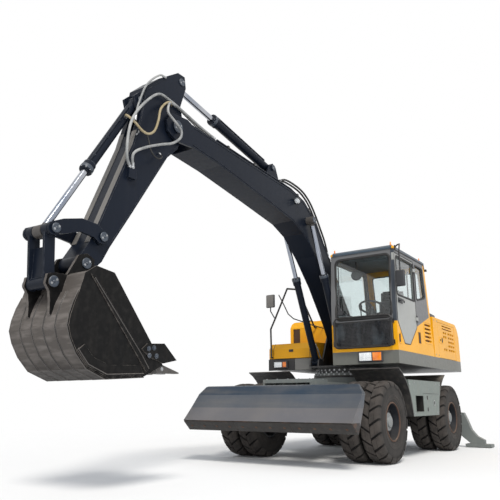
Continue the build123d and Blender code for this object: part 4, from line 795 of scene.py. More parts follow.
# Hood, counterweight and side doors: pressed sheet and a cast weight in warm machinery yellow with a clear
# gloss. The doors have paddle latches in a pressed frame, and the top an intake cover and two lifting eyes.
YELLOW = (0.80, 0.375, 0.004)
YELLOW_FINISH = {"edge": (0.50, 0.24, 0.03), "wear": 0.10, "dust": 0.07, "gloss": 0.32, "coat": 0.08,
                 "shine": 0.25}
body_yellow = paint("body_yellow", YELLOW, **YELLOW_FINISH)
coat_node(body_yellow, "engine_door_left", "engine_door_right", "fuel_tank", "tool_box")
hood_paint = paint("hood_paint", YELLOW, **YELLOW_FINISH)
tree = hood_paint.node_tree
x, y, z = place_axes(tree)
with_foot = mix_colour(tree, math_node(tree, "LESS_THAN", z, 1.485), YELLOW, SKIRT_GREY)
on_top = math_node(tree, "GREATER_THAN", z, 2.1405)
recolour(hood_paint, mix_colour(tree, on_top, with_foot, (0.018, 0.019, 0.022)))
coat_node(hood_paint, "counterweight", "engine_cover")
# Dark brown for sheets of painted shade, set in recesses and behind the vents.
shadow_brown_paint = paint("shadowed_brown", (0.045, 0.014, 0.006), wear=0.0, dust=0.2, gloss=0.7)
black_paint = paint("black_paint", (0.014, 0.014, 0.015), edge=(0.09, 0.09, 0.09), wear=0.3, dust=0.2,
                    gloss=0.40)
coat_node(black_paint, "windscreen_guard", "hand_rail", "mirrors", "steering_column")


def rounded(corners, bend, steps=5):
    """A closed outline with its corners rounded by a distance."""
    points = []
    corners = [Vector(c) for c in corners]
    for i, corner in enumerate(corners):
        before, after = corners[i - 1], corners[(i + 1) % len(corners)]
        start = corner + (before - corner).normalized() * bend
        end = corner + (after - corner).normalized() * bend
        for k in range(steps + 1):
            t = k / steps
            points.append(start * (1 - t) ** 2 + corner * 2 * t * (1 - t) + end * t ** 2)
    return points


def add_seal(shape, outline, normal, wide, high, sides=8):
    """A closed section swept round an outline: wide across it, high along the normal."""
    normal = Vector(normal).normalized()
    rings = []
    for i, here in enumerate(outline):
        along = (outline[(i + 1) % len(outline)] - outline[i - 1]).normalized()
        across = along.cross(normal).normalized()
        turn = [2 * math.pi * k / sides for k in range(sides)]
        rings.append([here + across * math.cos(a) * wide / 2 + normal * math.sin(a) * high / 2 for a in turn])
    add_loft(shape, rings, closed=True)


LATCH_FRAME = ((0.900, 1.735), (1.090, 1.735), (1.090, 1.840), (0.900, 1.840))
for name, side in (("left", 1), ("right", -1)):
    door = "engine_door_" + name
    face = side * 1.2500
    shape = bmesh.new()
    add_seal(shape, rounded(on_face(face, LATCH_FRAME), 0.018), (side, 0, 0), 0.009, 0.009)
    done(shape, "latch_frame_" + name, door, body_yellow, angle=60.0)
    shape = bmesh.new()
    add_box(shape, sorted((face, side * 1.2560)), (1.030, 1.075), (1.752, 1.825))
    add_turned(shape, [(0.0, 0.014), (0.006, 0.014), (0.008, 0.008), (0.008, 0.0)], (face, 0.955, 1.788),
               (side, 0, 0), 18)
    done(shape, "latch_" + name, door, latch_black, soften=0.002)
    shape = bmesh.new()
    add_box(shape, sorted((side * 1.2122, side * 1.2138)), (1.140, 1.790), (1.600, 2.050))
    done(shape, "vent_shade_" + name, door, shadow_brown_paint)
    places = [((face, y, z), (side, 0, 0)) for y in (0.66, 0.82) for z in (1.53, 2.09)]
    bolts("hood_bolts_" + name, "upper", places, 0.008, 0.005, zinc)
INTAKE_OUTLINE = ((0.640, 2.1402), (0.665, 2.196), (0.700, 2.212), (0.930, 2.204), (0.985, 2.1402))
shape = bmesh.new()
add_loft(shape, [on_face(x, INTAKE_OUTLINE) for x in (0.760, 1.190)])
done(shape, "intake_cover", "upper", black_paint, soften=0.010, angle=50.0)
LIFTING_LOOP = ((1.52, 2.140), (1.52, 2.185), (1.55, 2.205), (1.60, 2.205), (1.63, 2.185), (1.63, 2.140))
shape = bmesh.new()
for x in (-0.9, 0.9):
    add_bead(shape, on_face(x, LIFTING_LOOP), 0.012, 8)
done(shape, "lifting_eyes", "upper", black_paint, angle=60.0)


# Tool box and tank: folded sheet in the hood's yellow, with a dark seam at either end where the lid meets the
# box, a catch on its front, a dark brown panel of painted shade in the tank's front recess and the black
# filler cap.
seam_dark_and_recess_shade = paint("seam_dark_and_recess_shade", (0.050, 0.020, 0.003), wear=0.0, dust=0.1, gloss=0.6)
shape = bmesh.new()
for x in (-1.165, -0.470):
    add_bead(shape, [(x, -0.4655, 1.492), (x, -0.4655, 1.6405), (x, -0.4003, 1.7355), (x, 0.249, 1.7555)],
             0.0032)
# A flat dark brown panel paints the shade of the recess in the tank's front.
add_box(shape, (-1.1885, -1.0515), (0.2662, 0.2698), (1.7915, 2.0585))
done(shape, "box_seams_and_recess_shade", "upper", seam_dark_and_recess_shade, angle=60.0)
shape = bmesh.new()
add_box(shape, (-0.860, -0.780), (-0.4735, -0.4648), (1.590, 1.632))
add_turned(shape, [(0.0, 0.058), (0.028, 0.058), (0.034, 0.050), (0.034, 0.0)], (-0.95, 0.455, 2.190),
           (0, 0, 1), 32)
done(shape, "filler_and_catch", "upper", latch_black, soften=0.002)


# Cab shell, door and roof: welded frame in grey with its lower body in the hood's yellow, a paler grey door,
# and a blue-grey roof with yellow corners. The panes are thin toughened glass with a faint green-grey tint.
CAB_GREY = (0.120, 0.122, 0.126)
cab_paint = paint("cab_paint", CAB_GREY, wear=0.10, dust=0.10, gloss=0.36, coat=0.05, shine=0.3)
tree = cab_paint.node_tree
x, y, z = place_axes(tree)
rise = math_node(tree, "MULTIPLY", math_node(tree, "MAXIMUM", math_node(tree, "ADD", y, 0.190), 0.0), 0.340)
low_body = math_node(tree, "LESS_THAN", math_node(tree, "SUBTRACT", z, rise), 1.893)
corner_band = math_node(tree, "MULTIPLY", math_node(tree, "GREATER_THAN", x, 1.196),
                        math_node(tree, "LESS_THAN", y, -0.955))
frame_colour = mix_colour(tree, corner_band, CAB_GREY, (0.040, 0.048, 0.060))
leaning_y = math_node(tree, "ADD", y, math_node(tree, "MULTIPLY", z, 0.1578))
yellow_zone = math_node(tree, "MAXIMUM", low_body, math_node(tree, "GREATER_THAN", leaning_y, 0.752))
recolour(cab_paint, mix_colour(tree, yellow_zone, frame_colour, YELLOW))
coat_node(cab_paint, "cab_shell")
door_paint = paint("door_paint", (0.31, 0.318, 0.305), wear=0.10, dust=0.12, gloss=0.40, coat=0.05)
coat_node(door_paint, "cab_door")
ROOF_BLUE = (0.040, 0.062, 0.085)
roof_paint = paint("roof_paint", ROOF_BLUE, wear=0.10, dust=0.2, gloss=0.36)
tree = roof_paint.node_tree
x, y, z = place_axes(tree)
at_ends = math_node(tree, "MAXIMUM", math_node(tree, "LESS_THAN", x, 0.262),
                    math_node(tree, "GREATER_THAN", x, 1.222))
yellow_ends = math_node(tree, "MULTIPLY", at_ends, math_node(tree, "LESS_THAN", y, -0.930))
recolour(roof_paint, mix_colour(tree, yellow_ends, ROOF_BLUE, YELLOW))
coat_node(roof_paint, "cab_roof")
glass = bpy.data.materials.new("glass")
glass.use_nodes = True
shader = glass.node_tree.nodes["Principled BSDF"]
shader.inputs["Base Color"].default_value = (0.80, 0.86, 0.86, 1)
shader.inputs["Roughness"].default_value = 0.03
shader.inputs["IOR"].default_value = 1.5
shader.inputs["Transmission Weight"].default_value = 1.0
coat_node(glass, "cab_glass", "door_glass")


# Cab seals: black rubber sections pressed round each pane and the door's edge, standing a little proud of the
# painted frame.
def screen_y(z):
    """The windscreen's face leans back above z 2.24."""
    return -1.036 + max(z - 2.24, 0.0) * 0.0706


def cab_rear_y(z):
    """The cab's rear face leans forward all the way up."""
    return 0.347 + (2.962 - z) * 0.1578


mottle_group, given, result = new_group(
    "mottle",
    [("First", "Color", (0.1, 0.1, 0.1, 1)), ("Second", "Color", (0.2, 0.2, 0.2, 1)),
     ("Scale", "Float", 8.0), ("Detail", "Float", 5.0), ("Stretch", "Vector", (1, 1, 1)),
     ("From", "Float", 0.3), ("To", "Float", 0.7)],
    [("Color", "Color")])
tree = mottle_group
patch = noise(tree, 8.0).node
stretch = patch.inputs["Vector"].links[0].from_node
tree.links.new(given.outputs["Stretch"], stretch.inputs["Scale"])
tree.links.new(given.outputs["Scale"], patch.inputs["Scale"])
tree.links.new(given.outputs["Detail"], patch.inputs["Detail"])
share = span(tree, patch.outputs["Fac"], 0.3, 0.7)
tree.links.new(given.outputs["From"], share.node.inputs["From Min"])
tree.links.new(given.outputs["To"], share.node.inputs["From Max"])
mixed = mix_colour(tree, share, given.outputs["First"], given.outputs["Second"])
tree.links.new(mixed, result.inputs["Color"])
gloss_group, given, result = new_group(
    "uneven_gloss", [("Scale", "Float", 20.0), ("Low", "Float", 0.5), ("High", "Float", 0.75)],
    [("Roughness", "Float")])
tree = gloss_group
patch = noise(tree, 20.0, 4.0)
tree.links.new(given.outputs["Scale"], patch.node.inputs["Scale"])
gloss = span(tree, patch, 0.3, 0.7).node
tree.links.new(given.outputs["Low"], gloss.inputs["To Min"])
tree.links.new(given.outputs["High"], gloss.inputs["To Max"])
tree.links.new(gloss.outputs[0], result.inputs["Roughness"])


def mottled(name, field, low, high, first, second, rough, coat=0.0):
    """A moulded material between two colours, its field being a noise's scale, detail and stretch."""
    made = bpy.data.materials.new(name)
    made.use_nodes = True
    tree = made.node_tree
    shader = tree.nodes["Principled BSDF"]
    scale, detail, stretch = (*field, (1, 1, 1))[:3]
    colour = effect(tree, mottle_group, First=(*first, 1), Second=(*second, 1), Scale=scale, Detail=detail,
                    Stretch=stretch, From=low, To=high)
    tree.links.new(colour["Color"], shader.inputs["Base Color"])
    shader.inputs["Roughness"].default_value = rough
    shader.inputs["Coat Weight"].default_value = coat
    return made


def uneven_gloss(material, scale, low, high):
    """A roughness that wavers between low and high."""
    tree = material.node_tree
    made = effect(tree, gloss_group, Scale=scale, Low=low, High=high)
    tree.links.new(made["Roughness"], tree.nodes["Principled BSDF"].inputs["Roughness"])


seal_rubber = mottled("seal_rubber", (8.0, 5.0), 0.4, 0.75, (0.006, 0.006, 0.007), (0.022, 0.021, 0.02), 0.6)
uneven_gloss(seal_rubber, 20.0, 0.5, 0.75)
SCREEN_CORNERS = ((0.310, 1.960), (1.180, 1.960), (1.180, 2.890), (0.310, 2.890))
REAR_CORNERS = ((0.340, 2.200), (1.140, 2.200), (1.140, 2.850), (0.340, 2.850))
QUARTER_PANE = ((-0.120, 2.310), (-0.120, 2.870), (0.235, 2.870), (0.290, 2.400))
RIGHT_PANE = ((-0.900, 2.100), (-0.880, 2.870), (0.235, 2.870), (0.290, 2.300), (0.290, 2.100))
shape = bmesh.new()
screen = rounded([(x, screen_y(z), z) for x, z in SCREEN_CORNERS], 0.085)
add_seal(shape, [Vector((p.x, screen_y(p.z), p.z)) for p in screen], (0, -1, 0.04), 0.040, 0.016)
add_seal(shape, rounded(on_face(1.250, QUARTER_PANE), 0.045), (1, 0, 0), 0.030, 0.014)
add_seal(shape, rounded(on_face(0.232, RIGHT_PANE), 0.055), (1, 0, 0), 0.032, 0.014)
add_seal(shape, rounded([(x, cab_rear_y(z), z) for x, z in REAR_CORNERS], 0.055), (0, 1, 0.16), 0.032, 0.014)
done(shape, "window_seals", "upper", seal_rubber, angle=60.0)
DOOR_PANE = ((-0.930, 2.860), (-0.960, 2.280), (-0.222, 2.280), (-0.222, 2.860))
DOOR_EDGE = ((-0.986, 2.896), (-0.996, 1.902), (-0.758, 1.595), (-0.532, 1.595), (-0.197, 1.873),
             (-0.197, 2.896))
DOOR_POST = ((-0.215, 2.27), (-0.193, 2.27), (-0.193, 2.875), (-0.215, 2.875))
shape = bmesh.new()
add_seal(shape, rounded(on_face(1.250, DOOR_PANE), 0.045), (1, 0, 0), 0.032, 0.014)
add_seal(shape, rounded(on_face(1.2495, DOOR_EDGE), 0.020, 2), (1, 0, 0), 0.009, 0.009, 6)
add_seal(shape, rounded(on_face(1.2505, DOOR_POST), 0.008, 2), (1, 0, 0), 0.014, 0.012, 6)
done(shape, "door_seals", "cab_door", seal_rubber, angle=60.0)


# Door fittings: a black pull handle on two feet and a round lock beside it, moulded and screwed on; inside, a
# lining and two grab bars.
plastic_black = bpy.data.materials.new("plastic_black")
plastic_black.use_nodes = True
plastic_black.node_tree.nodes["Principled BSDF"].inputs["Base Color"].default_value = (0.020, 0.021, 0.024, 1)
uneven_gloss(plastic_black, 60.0, 0.42, 0.60)
grain(plastic_black.node_tree, 700.0, 2.0, 0.3, 0.0006)
shape = bmesh.new()
add_bead(shape, [(1.2495, -0.915, 2.190), (1.278, -0.915, 2.190), (1.282, -0.895, 2.194),
                 (1.282, -0.800, 2.214), (1.278, -0.782, 2.218), (1.2495, -0.782, 2.218)], 0.011, 8)
add_box(shape, (1.2485, 1.258), (-0.935, -0.765), (2.165, 2.240))
add_turned(shape, [(0.0, 0.018), (0.012, 0.017), (0.014, 0.010), (0.014, 0.0)], (1.2495, -0.70, 2.205),
           (1, 0, 0), 20)
done(shape, "door_handle", "cab_door", plastic_black, soften=0.002, angle=50.0)
shape = bmesh.new()
add_bead(shape, [(1.200, -0.30, 2.10), (1.180, -0.31, 2.13), (1.180, -0.31, 2.70), (1.200, -0.30, 2.73)],
         0.012, 10)
add_bead(shape, [(1.205, -0.90, 2.05), (1.175, -0.90, 2.06), (1.175, -0.35, 2.16), (1.205, -0.34, 2.17)],
         0.012, 10)
add_box(shape, (1.196, 1.2072), (-0.94, -0.24), (1.93, 2.16))
done(shape, "door_lining", "cab_door", plastic_black, soften=0.004, angle=50.0)


# Cab front: one wiper on its motor, bolted beside the screen. A mesh guard in a bent steel tube stands on
# four clamps before the lower pane, an opaque panel mottled from near-black to blue-grey as painted shade and
# painted reflection.
shape = bmesh.new()
add_bead(shape, [(0.395, -1.075, 2.080), (0.380, -1.078, 2.200), (0.372, -1.060, 2.420)], 0.009, 8)
add_box(shape, (0.368, 0.380), (-1.0475, -1.034), (2.150, 2.775))
add_box(shape, (0.355, 0.440), (-1.082, -1.036), (2.030, 2.100))
add_bead(shape, [(0.44, -1.064, 2.07), (0.50, -1.064, 2.02), (0.62, -1.050, 1.99)], 0.005)
done(shape, "wiper", "upper", plastic_black, soften=0.002, angle=50.0)
guard_black = paint("guard_black", (0.010, 0.010, 0.011), edge=(0.16, 0.16, 0.17), wear=0.5, dust=0.15,
                    gloss=0.36, rounding=0.002)
GUARD_Y = -1.096
HOOP = ((0.300, 1.540), (1.190, 1.540), (1.190, 1.980), (0.300, 1.980))
MESH_FRAME = ((0.322, 1.560), (1.168, 1.560), (1.168, 1.905), (0.322, 1.905))
shape = bmesh.new()
add_seal(shape, rounded([(x, GUARD_Y, z) for x, z in HOOP], 0.075), (0, -1, 0), 0.028, 0.028, 12)
add_seal(shape, rounded([(x, GUARD_Y, z) for x, z in MESH_FRAME], 0.050), (0, -1, 0), 0.012, 0.012)
for x in (0.305, 1.185):
    for z in (1.600, 1.895):
        add_rod(shape, (x, GUARD_Y, z), (x, -1.036, z), 0.012, 12)
        add_box(shape, (x - 0.026, x + 0.026), (-1.052, -1.036), (z - 0.030, z + 0.030))
        add_box(shape, (x - 0.018, x + 0.018), (GUARD_Y - 0.018, GUARD_Y + 0.018), (z - 0.035, z + 0.035))
guard = done(shape, "guard_hoop", "upper", guard_black, soften=0.0015, angle=50.0)
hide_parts("windscreen_guard")
# The lower pane is opaque: its near-black is painted shade of the cab behind it, its blue-grey patches a
# painted reflection.
pane_shade_and_reflection = mottled("pane_shade_and_reflection", (5.0, 5.0, (1.0, 1.0, 0.6)), 0.46, 0.66, (0.006, 0.008, 0.012),
                    (0.085, 0.105, 0.120), 0.12)
shape = bmesh.new()
add_box(shape, (0.300, 1.190), (-1.0415, -1.0362), (1.550, 1.925))
done(shape, "lower_screen", "upper", pane_shade_and_reflection, soften=0.002)
shape = bmesh.new()
for i in range(43):
    x = 0.330 + i * 0.0198
    add_box(shape, (x - 0.0014, x + 0.0014), (GUARD_Y - 0.0032, GUARD_Y - 0.0004), (1.564, 1.901))
for i in range(18):
    z = 1.570 + i * 0.0194
    add_box(shape, (0.326, 1.164), (GUARD_Y + 0.0004, GUARD_Y + 0.0032), (z - 0.0014, z + 0.0014))
done(shape, "guard_mesh", "upper", guard_black)


# Cab inside: moulded linings in dark slate, a control box on either side of the seat with its lever, a fan
# under the roof lining and three pedals; all are screwed to the frame, and none moves.
lining = mottled("cab_lining", (3.0, 4.0), 0.3, 0.7, (0.16, 0.18, 0.20), (0.22, 0.245, 0.27), 0.7)
grain(lining.node_tree, 420.0, 2.0, 0.4, 0.0008)
shape = bmesh.new()
add_box(shape, (0.276, 1.206), (-0.930, 0.290), (2.925, 2.955))
add_box(shape, (0.300, 1.180), (-0.935, -0.800), (2.890, 2.9255))
add_box(shape, (0.500, 0.980), (-0.60, -0.10), (2.905, 2.9255))
add_box(shape, (0.275, 0.330), (-0.980, 0.300), (1.530, 2.080))
add_box(shape, (0.280, 1.200), (-0.990, -0.900), (1.530, 1.700))
add_box(shape, (0.330, 0.420), (-0.700, 0.250), (1.530, 2.020))
add_box(shape, (1.080, 1.150), (-0.320, 0.250), (1.530, 2.000))
add_box(shape, (0.340, 1.140), (0.300, 0.400), (1.530, 2.180))
done(shape, "cab_linings", "upper", lining, soften=0.012, angle=50.0)
shape = bmesh.new()
for x in (0.400, 1.060):
    add_bead(shape, [(x, -0.300, 2.080), (x, -0.315, 2.140), (x + 0.008, -0.335, 2.200)], 0.010, 8)
    add_turned(shape, [(0.0, 0.012), (0.03, 0.024), (0.075, 0.028), (0.105, 0.022), (0.115, 0.0)],
               (x + 0.008, -0.333, 2.190), (0.08, -0.35, 1), 20)
    add_box(shape, (x - 0.055, x + 0.055), (-0.345, -0.150), (2.070, 2.092))
add_rod(shape, (0.520, -0.700, 2.905), (0.520, -0.700, 2.760), 0.010, 10)
add_turned(shape, [(-0.03, 0.02), (-0.022, 0.075), (0.0, 0.085), (0.022, 0.075), (0.03, 0.02)],
           (0.520, -0.700, 2.690), (0.3, -1, 0.1), 28)
add_box(shape, (0.300, 0.350), (-0.935, -0.850), (2.080, 2.330))
for x in (0.62, 0.70, 0.78):
    add_bead(shape, [(x, -0.640, 1.540), (x, -0.700, 1.640), (x, -0.820, 1.700)], 0.009, 8)
done(shape, "cab_controls", "upper", plastic_black, soften=0.003, angle=50.0)


# Seat: a cushion, a back and a head rest, sewn in black cloth over foam with channels across, on a plastic
# shell with arm rests and a pedestal.
seat_cloth = bpy.data.materials.new("seat_cloth")
seat_cloth.use_nodes = True
shader = seat_cloth.node_tree.nodes["Principled BSDF"]
shader.inputs["Base Color"].default_value = (0.025, 0.026, 0.030, 1)
shader.inputs["Roughness"].default_value = 0.9
shader.inputs["Sheen Weight"].default_value = 0.4
coat_node(seat_cloth, "seat")
weave_cloth = mottled("seat_weave", (5.0, 4.0), 0.35, 0.7, (0.012, 0.013, 0.016), (0.034, 0.036, 0.042), 0.92)
tree = weave_cloth.node_tree
tree.nodes["Principled BSDF"].inputs["Sheen Weight"].default_value = 0.35
waves = []
for direction in ("X", "Z"):
    wave = tree.nodes.new("ShaderNodeTexWave")
    wave.bands_direction = direction
    wave.inputs["Scale"].default_value = 260.0
    coords = tree.nodes.new("ShaderNodeTexCoord")
    tree.links.new(coords.outputs["Object"], wave.inputs["Vector"])
    waves.append(wave.outputs["Fac"])
weave = tree.nodes.new("ShaderNodeBump")
weave.inputs["Strength"].default_value = 0.5
weave.inputs["Distance"].default_value = 0.0008
tree.links.new(math_node(tree, "MULTIPLY", waves[0], waves[1]), weave.inputs["Height"])
tree.links.new(weave.outputs[0], tree.nodes["Principled BSDF"].inputs["Normal"])


def cushion(name, low, high, crown, lean=0.0, channels=()):
    """A crowned pad between two corners; its sides pull in between corners, and sewn channels cross it."""
    shape = bmesh.new()
    thin = min(range(3), key=lambda i: high[i] - low[i])
    wide, tall = [i for i in range(3) if i != thin]
    middle = [(a + b) / 2 for a, b in zip(low, high)]
    half = [(b - a) / 2 for a, b in zip(low, high)]
    count = 22
    grid = {}
    for sign in (0, 1):
        for i in range(count + 1):
            for j in range(count + 1):
                u, v = i / count * 2 - 1, j / count * 2 - 1
                edge = max(1 - abs(u) ** 6, 0) ** 0.5 * max(1 - abs(v) ** 6, 0) ** 0.5
                swell = crown * (1 - u * u) * (1 - v * v)
                for place, depth in channels:
                    swell -= depth * math.exp(-((v - place) / 0.06) ** 2) * edge
                point = [0.0, 0.0, 0.0]
                point[wide] = middle[wide] + half[wide] * u * (1 - 0.025 * (1 - v * v))
                point[tall] = middle[tall] + half[tall] * v * (1 - 0.02 * (1 - u * u))
                reach = half[thin] * (0.35 + 0.65 * edge) + (swell if sign else swell * 0.3)
                point[thin] = middle[thin] + (reach if sign else -reach) * (-1 if thin == 1 else 1)
                point[1] += lean * (point[2] - low[2])
                grid[sign, i, j] = shape.verts.new(point)
    for sign in (0, 1):
        for i in range(count):
            for j in range(count):
                corners = ((i, j), (i + 1, j), (i + 1, j + 1), (i, j + 1))
                shape.faces.new([grid[sign, *corner] for corner in corners])
    border = [(i, 0) for i in range(count)] + [(count, j) for j in range(count)]
    border += [(i, count) for i in range(count, 0, -1)] + [(0, j) for j in range(count, 0, -1)]
    for first, second in zip(border, border[1:] + border[:1]):
        shape.faces.new([grid[0, *first], grid[0, *second], grid[1, *second], grid[1, *first]])
    made = done(shape, name, "upper", weave_cloth, angle=70.0)
    soft = made.modifiers.new("soft", "SUBSURF")
    soft.levels = 1
    soft.render_levels = 1
    return made


SEAT = 0.720
cushion("seat_cushion", (SEAT - 0.235, -0.255, 1.868), (SEAT + 0.235, 0.140, 1.975), 0.012,
        channels=((-0.45, 0.010), (0.10, 0.010), (0.55, 0.008)))
cushion("seat_back", (SEAT - 0.215, 0.128, 1.990), (SEAT + 0.215, 0.208, 2.400), 0.010, lean=0.115,
        channels=((-0.5, 0.010), (0.0, 0.010), (0.5, 0.008)))
cushion("seat_head_rest", (SEAT - 0.140, 0.150, 2.425), (SEAT + 0.140, 0.225, 2.560), 0.008, lean=0.115)
seat_shell = bmesh.new()
add_box(seat_shell, (SEAT - 0.230, SEAT + 0.230), (-0.240, 0.190), (1.830, 1.872))
add_box(seat_shell, (SEAT - 0.120, SEAT + 0.120), (-0.150, 0.100), (1.530, 1.835))
BACK_SHELL = ((0.188, 1.86), (0.198, 1.96), (0.266, 2.53), (0.240, 2.55), (0.172, 1.98), (0.160, 1.86))
add_loft(seat_shell, [on_face(x, BACK_SHELL) for x in (SEAT - 0.19, SEAT + 0.19)])
for side in (-1, 1):
    add_box(seat_shell, sorted((SEAT + side * 0.250, SEAT + side * 0.315)), (-0.345, 0.145), (1.935, 2.070))
    add_box(seat_shell, sorted((SEAT + side * 0.200, SEAT + side * 0.300)), (-0.130, -0.010), (1.840, 1.920))
shell = done(seat_shell, "seat_shell", "upper", plastic_black, soften=0.012, angle=50.0)
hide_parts("seat")


# Cab outside: a pressed surround for the louvre, an oval hand recess ahead of the door and a grip behind it,
# amber markers screwed on the roof's corners, and rubber rain gutters down both sides. The hand recess, the
# grip and the louvre's slots are flat dark brown sheets of painted shade.
PRESSINGS = (
    # corners (y, z), bend, width, height
    (((0.138, 1.672), (0.497, 1.672), (0.497, 2.006), (0.138, 2.006)), 0.040, 0.014, 0.010),
    (((-1.005, 1.580), (-0.885, 1.580), (-0.905, 1.735), (-1.005, 1.735)), 0.052, 0.014, 0.014),
    (((-0.165, 1.635), (-0.035, 1.635), (-0.035, 1.825), (-0.165, 1.825)), 0.024, 0.010, 0.008),
)
shape = bmesh.new()
for corners, bend, wide, high in PRESSINGS:
    add_seal(shape, rounded(on_face(1.2500, corners), bend), (1, 0, 0), wide, high)
done(shape, "cab_pressings", "upper", body_yellow, angle=60.0)
# Flat dark brown sheets paint the shade in the hand recess, the grip and the louvre's slots.
shape = bmesh.new()
add_box(shape, (1.2488, 1.2512), (-0.985, -0.925), (1.600, 1.715))
add_box(shape, (1.2488, 1.2512), (-0.155, -0.045), (1.645, 1.815))
for i in range(5):
    add_box(shape, (1.209, 1.214), (0.160, 0.475), (1.690 + 0.062 * i, 1.742 + 0.062 * i))
done(shape, "cab_recess_shades", "upper", shadow_brown_paint, soften=0.001)
LENS_FIELD = (14.0, 3.0)
amber = mottled("amber_lens", LENS_FIELD, 0.3, 0.7, (0.75, 0.16, 0.01), (0.95, 0.30, 0.03), 0.18, coat=0.6)
shape = bmesh.new()
for x, y in ((0.285, -0.955), (1.195, -0.955), (1.195, 0.300)):
    add_turned(shape, [(0.0, 0.016), (0.006, 0.016), (0.008, 0.011), (0.045, 0.009), (0.055, 0.004),
                       (0.056, 0.0)], (x, y, 3.0195), (0, 0, 1), 16)
done(shape, "roof_markers", "upper", amber)
shape = bmesh.new()
for x in (0.2315, 1.2505):
    add_bead(shape, on_face(x, ((-0.975, 2.944), (-0.300, 2.952), (0.330, 2.952), (0.358, 2.870))), 0.009)
add_rod(shape, (1.238, 0.360, 2.880), (1.238, 0.430, 2.885), 0.008, 8)
add_box(shape, (1.215, 1.262), (0.425, 0.462), (2.868, 2.902))
done(shape, "rain_gutters", "upper", seal_rubber, angle=60.0)


# Mirrors: black moulded shells on bent tube arms, clamped to the cab's corner and to the hand rail, glass
# facing back. The right one has a pale plate on its front, and a brace runs from the rail back to the tank.
shape = bmesh.new()
add_bead(shape, [(1.2502, -0.940, 2.985), (1.290, -0.945, 3.012), (1.340, -0.985, 3.010),
                 (1.362, -1.060, 2.960), (1.362, -1.086, 2.870), (1.360, -1.086, 2.580)], 0.011, 10)
add_box(shape, (1.2495, 1.262), (-0.965, -0.915), (2.955, 3.012))
done(shape, "mirror_arm", "upper", guard_black, soften=0.002, angle=60.0)
shape = bmesh.new()
add_box(shape, (1.292, 1.428), (-1.108, -1.062), (2.365, 2.602))
left_shell = done(shape, "mirror_left_shell", "upper", plastic_black, soften=0.020,
                  angle=60.0)
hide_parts("mirrors")
shape = bmesh.new()
add_box(shape, (-1.283, -1.117), (-0.515, -0.473), (2.362, 2.588))
done(shape, "mirror_right_shell", "upper", plastic_black, soften=0.018, angle=60.0)
mirror_glass = metal("mirror_glass", (0.75, 0.78, 0.80), 0.03, 0.07, 0.97, 4.0)
shape = bmesh.new()
add_box(shape, (1.304, 1.416), (-1.063, -1.0605), (2.378, 2.590))
add_box(shape, (-1.270, -1.130), (-0.4735, -0.4715), (2.375, 2.575))
done(shape, "mirror_glasses", "upper", mirror_glass, soften=0.0008)
rail_grey = paint("rail_grey", (0.125, 0.118, 0.110), edge=(0.4, 0.4, 0.4), wear=0.6, dust=0.2, gloss=0.45,
                  rounding=0.001)
shape = bmesh.new()
add_box(shape, (-1.273, -1.127), (-0.5172, -0.5140), (2.372, 2.578))
done(shape, "mirror_right_face", "upper", rail_grey, soften=0.001)
shape = bmesh.new()
add_bead(shape, [(-1.030, -0.495, 2.569), (-0.930, -0.497, 2.390), (-0.850, -0.492, 2.225),
                 (-0.760, -0.470, 2.140), (-0.660, -0.400, 2.100), (-0.600, -0.120, 2.060),
                 (-0.580, 0.258, 2.040)], 0.010, 8)
done(shape, "rail_brace", "upper", black_paint, angle=60.0)


# Lamps: head lamps in their housings with a clear ribbed lens and an amber indicator, and tail lamps in black
# trays screwed to the counterweight.
lens = mottled("lamp_lens", (90.0, 2.0, (1, 0.2, 1)), 0.35, 0.65, (0.62, 0.66, 0.68), (0.90, 0.92, 0.92),
               0.10, coat=0.8)
red_lens = mottled("red_lens", LENS_FIELD, 0.3, 0.7, (0.35, 0.010, 0.008), (0.55, 0.025, 0.015), 0.2,
                   coat=0.6)
CAB_LAMP = ((-1.0800, -1.0702), (1.3485, 1.4635))
PANEL_LAMP = ((-0.5330, -0.5232), (1.3395, 1.4255))
for name, in_cab, in_panel, material, slot in (
        ("lamp_glasses", (0.6695, 0.8585), (-1.1155, -0.9665), lens, "glass"),
        ("lamp_indicators", (0.8735, 1.0055), (-0.9515, -0.8845), amber, "yellow_paint")):
    shape = bmesh.new()
    add_box(shape, in_cab, *CAB_LAMP)
    add_box(shape, in_panel, *PANEL_LAMP)
    done(shape, name, "upper", material, soften=0.003)
for name, inner, outer, depth, height, material, slot in (
        ("tail_lamp_trays", 0.62, 0.90, (2.1598, 2.172), (1.560, 1.640), latch_black, "black_paint"),
        ("tail_lamps", 0.64, 0.78, (2.1718, 2.180), (1.574, 1.626), red_lens, "glass"),
        ("tail_indicators", 0.79, 0.88, (2.1718, 2.180), (1.574, 1.626), amber, "glass")):
    shape = bmesh.new()
    for side in (-1, 1):
        add_box(shape, sorted((side * inner, side * outer)), depth, height)
    done(shape, name, "upper", material, soften=0.003)


# Boom, arm and linkage: box sections welded from plate, in a near-black navy with a satin sheen. Bead welds
# run along the plates' edges, pale wear rails are stitched to the arm's front, and clamps hold the pipes on
# the boom.
navy_paint = paint("navy_paint", (0.0062, 0.0092, 0.0165), edge=(0.15, 0.16, 0.18), wear=0.5, dust=0.02,
                   gloss=0.34, rounding=0.006, shine=0.12)
coat_node(navy_paint, "boom", "arm", "boom_barrels", "arm_barrel", "bucket_barrel", "idler_links",
          "bucket_link", "boom_pipes")
BOOM_LINE = -0.09
BOOM_TOP = [(-0.62, 2.855), (-1.250, 3.550), (-1.526, 3.727), (-1.910, 3.816), (-3.200, 3.875),
            (-4.180, 3.928)]
BOOM_BELLY = [(-0.362, 2.000), (-0.820, 2.560), (-1.220, 2.950), (-1.580, 3.230), (-1.900, 3.350),
              (-2.680, 3.470), (-3.650, 3.610), (-4.190, 3.656)]
ARM_REAR = [(-4.400, 3.575), (-4.560, 3.415), (-5.046, 2.634), (-5.310, 2.219), (-5.385, 2.080)]
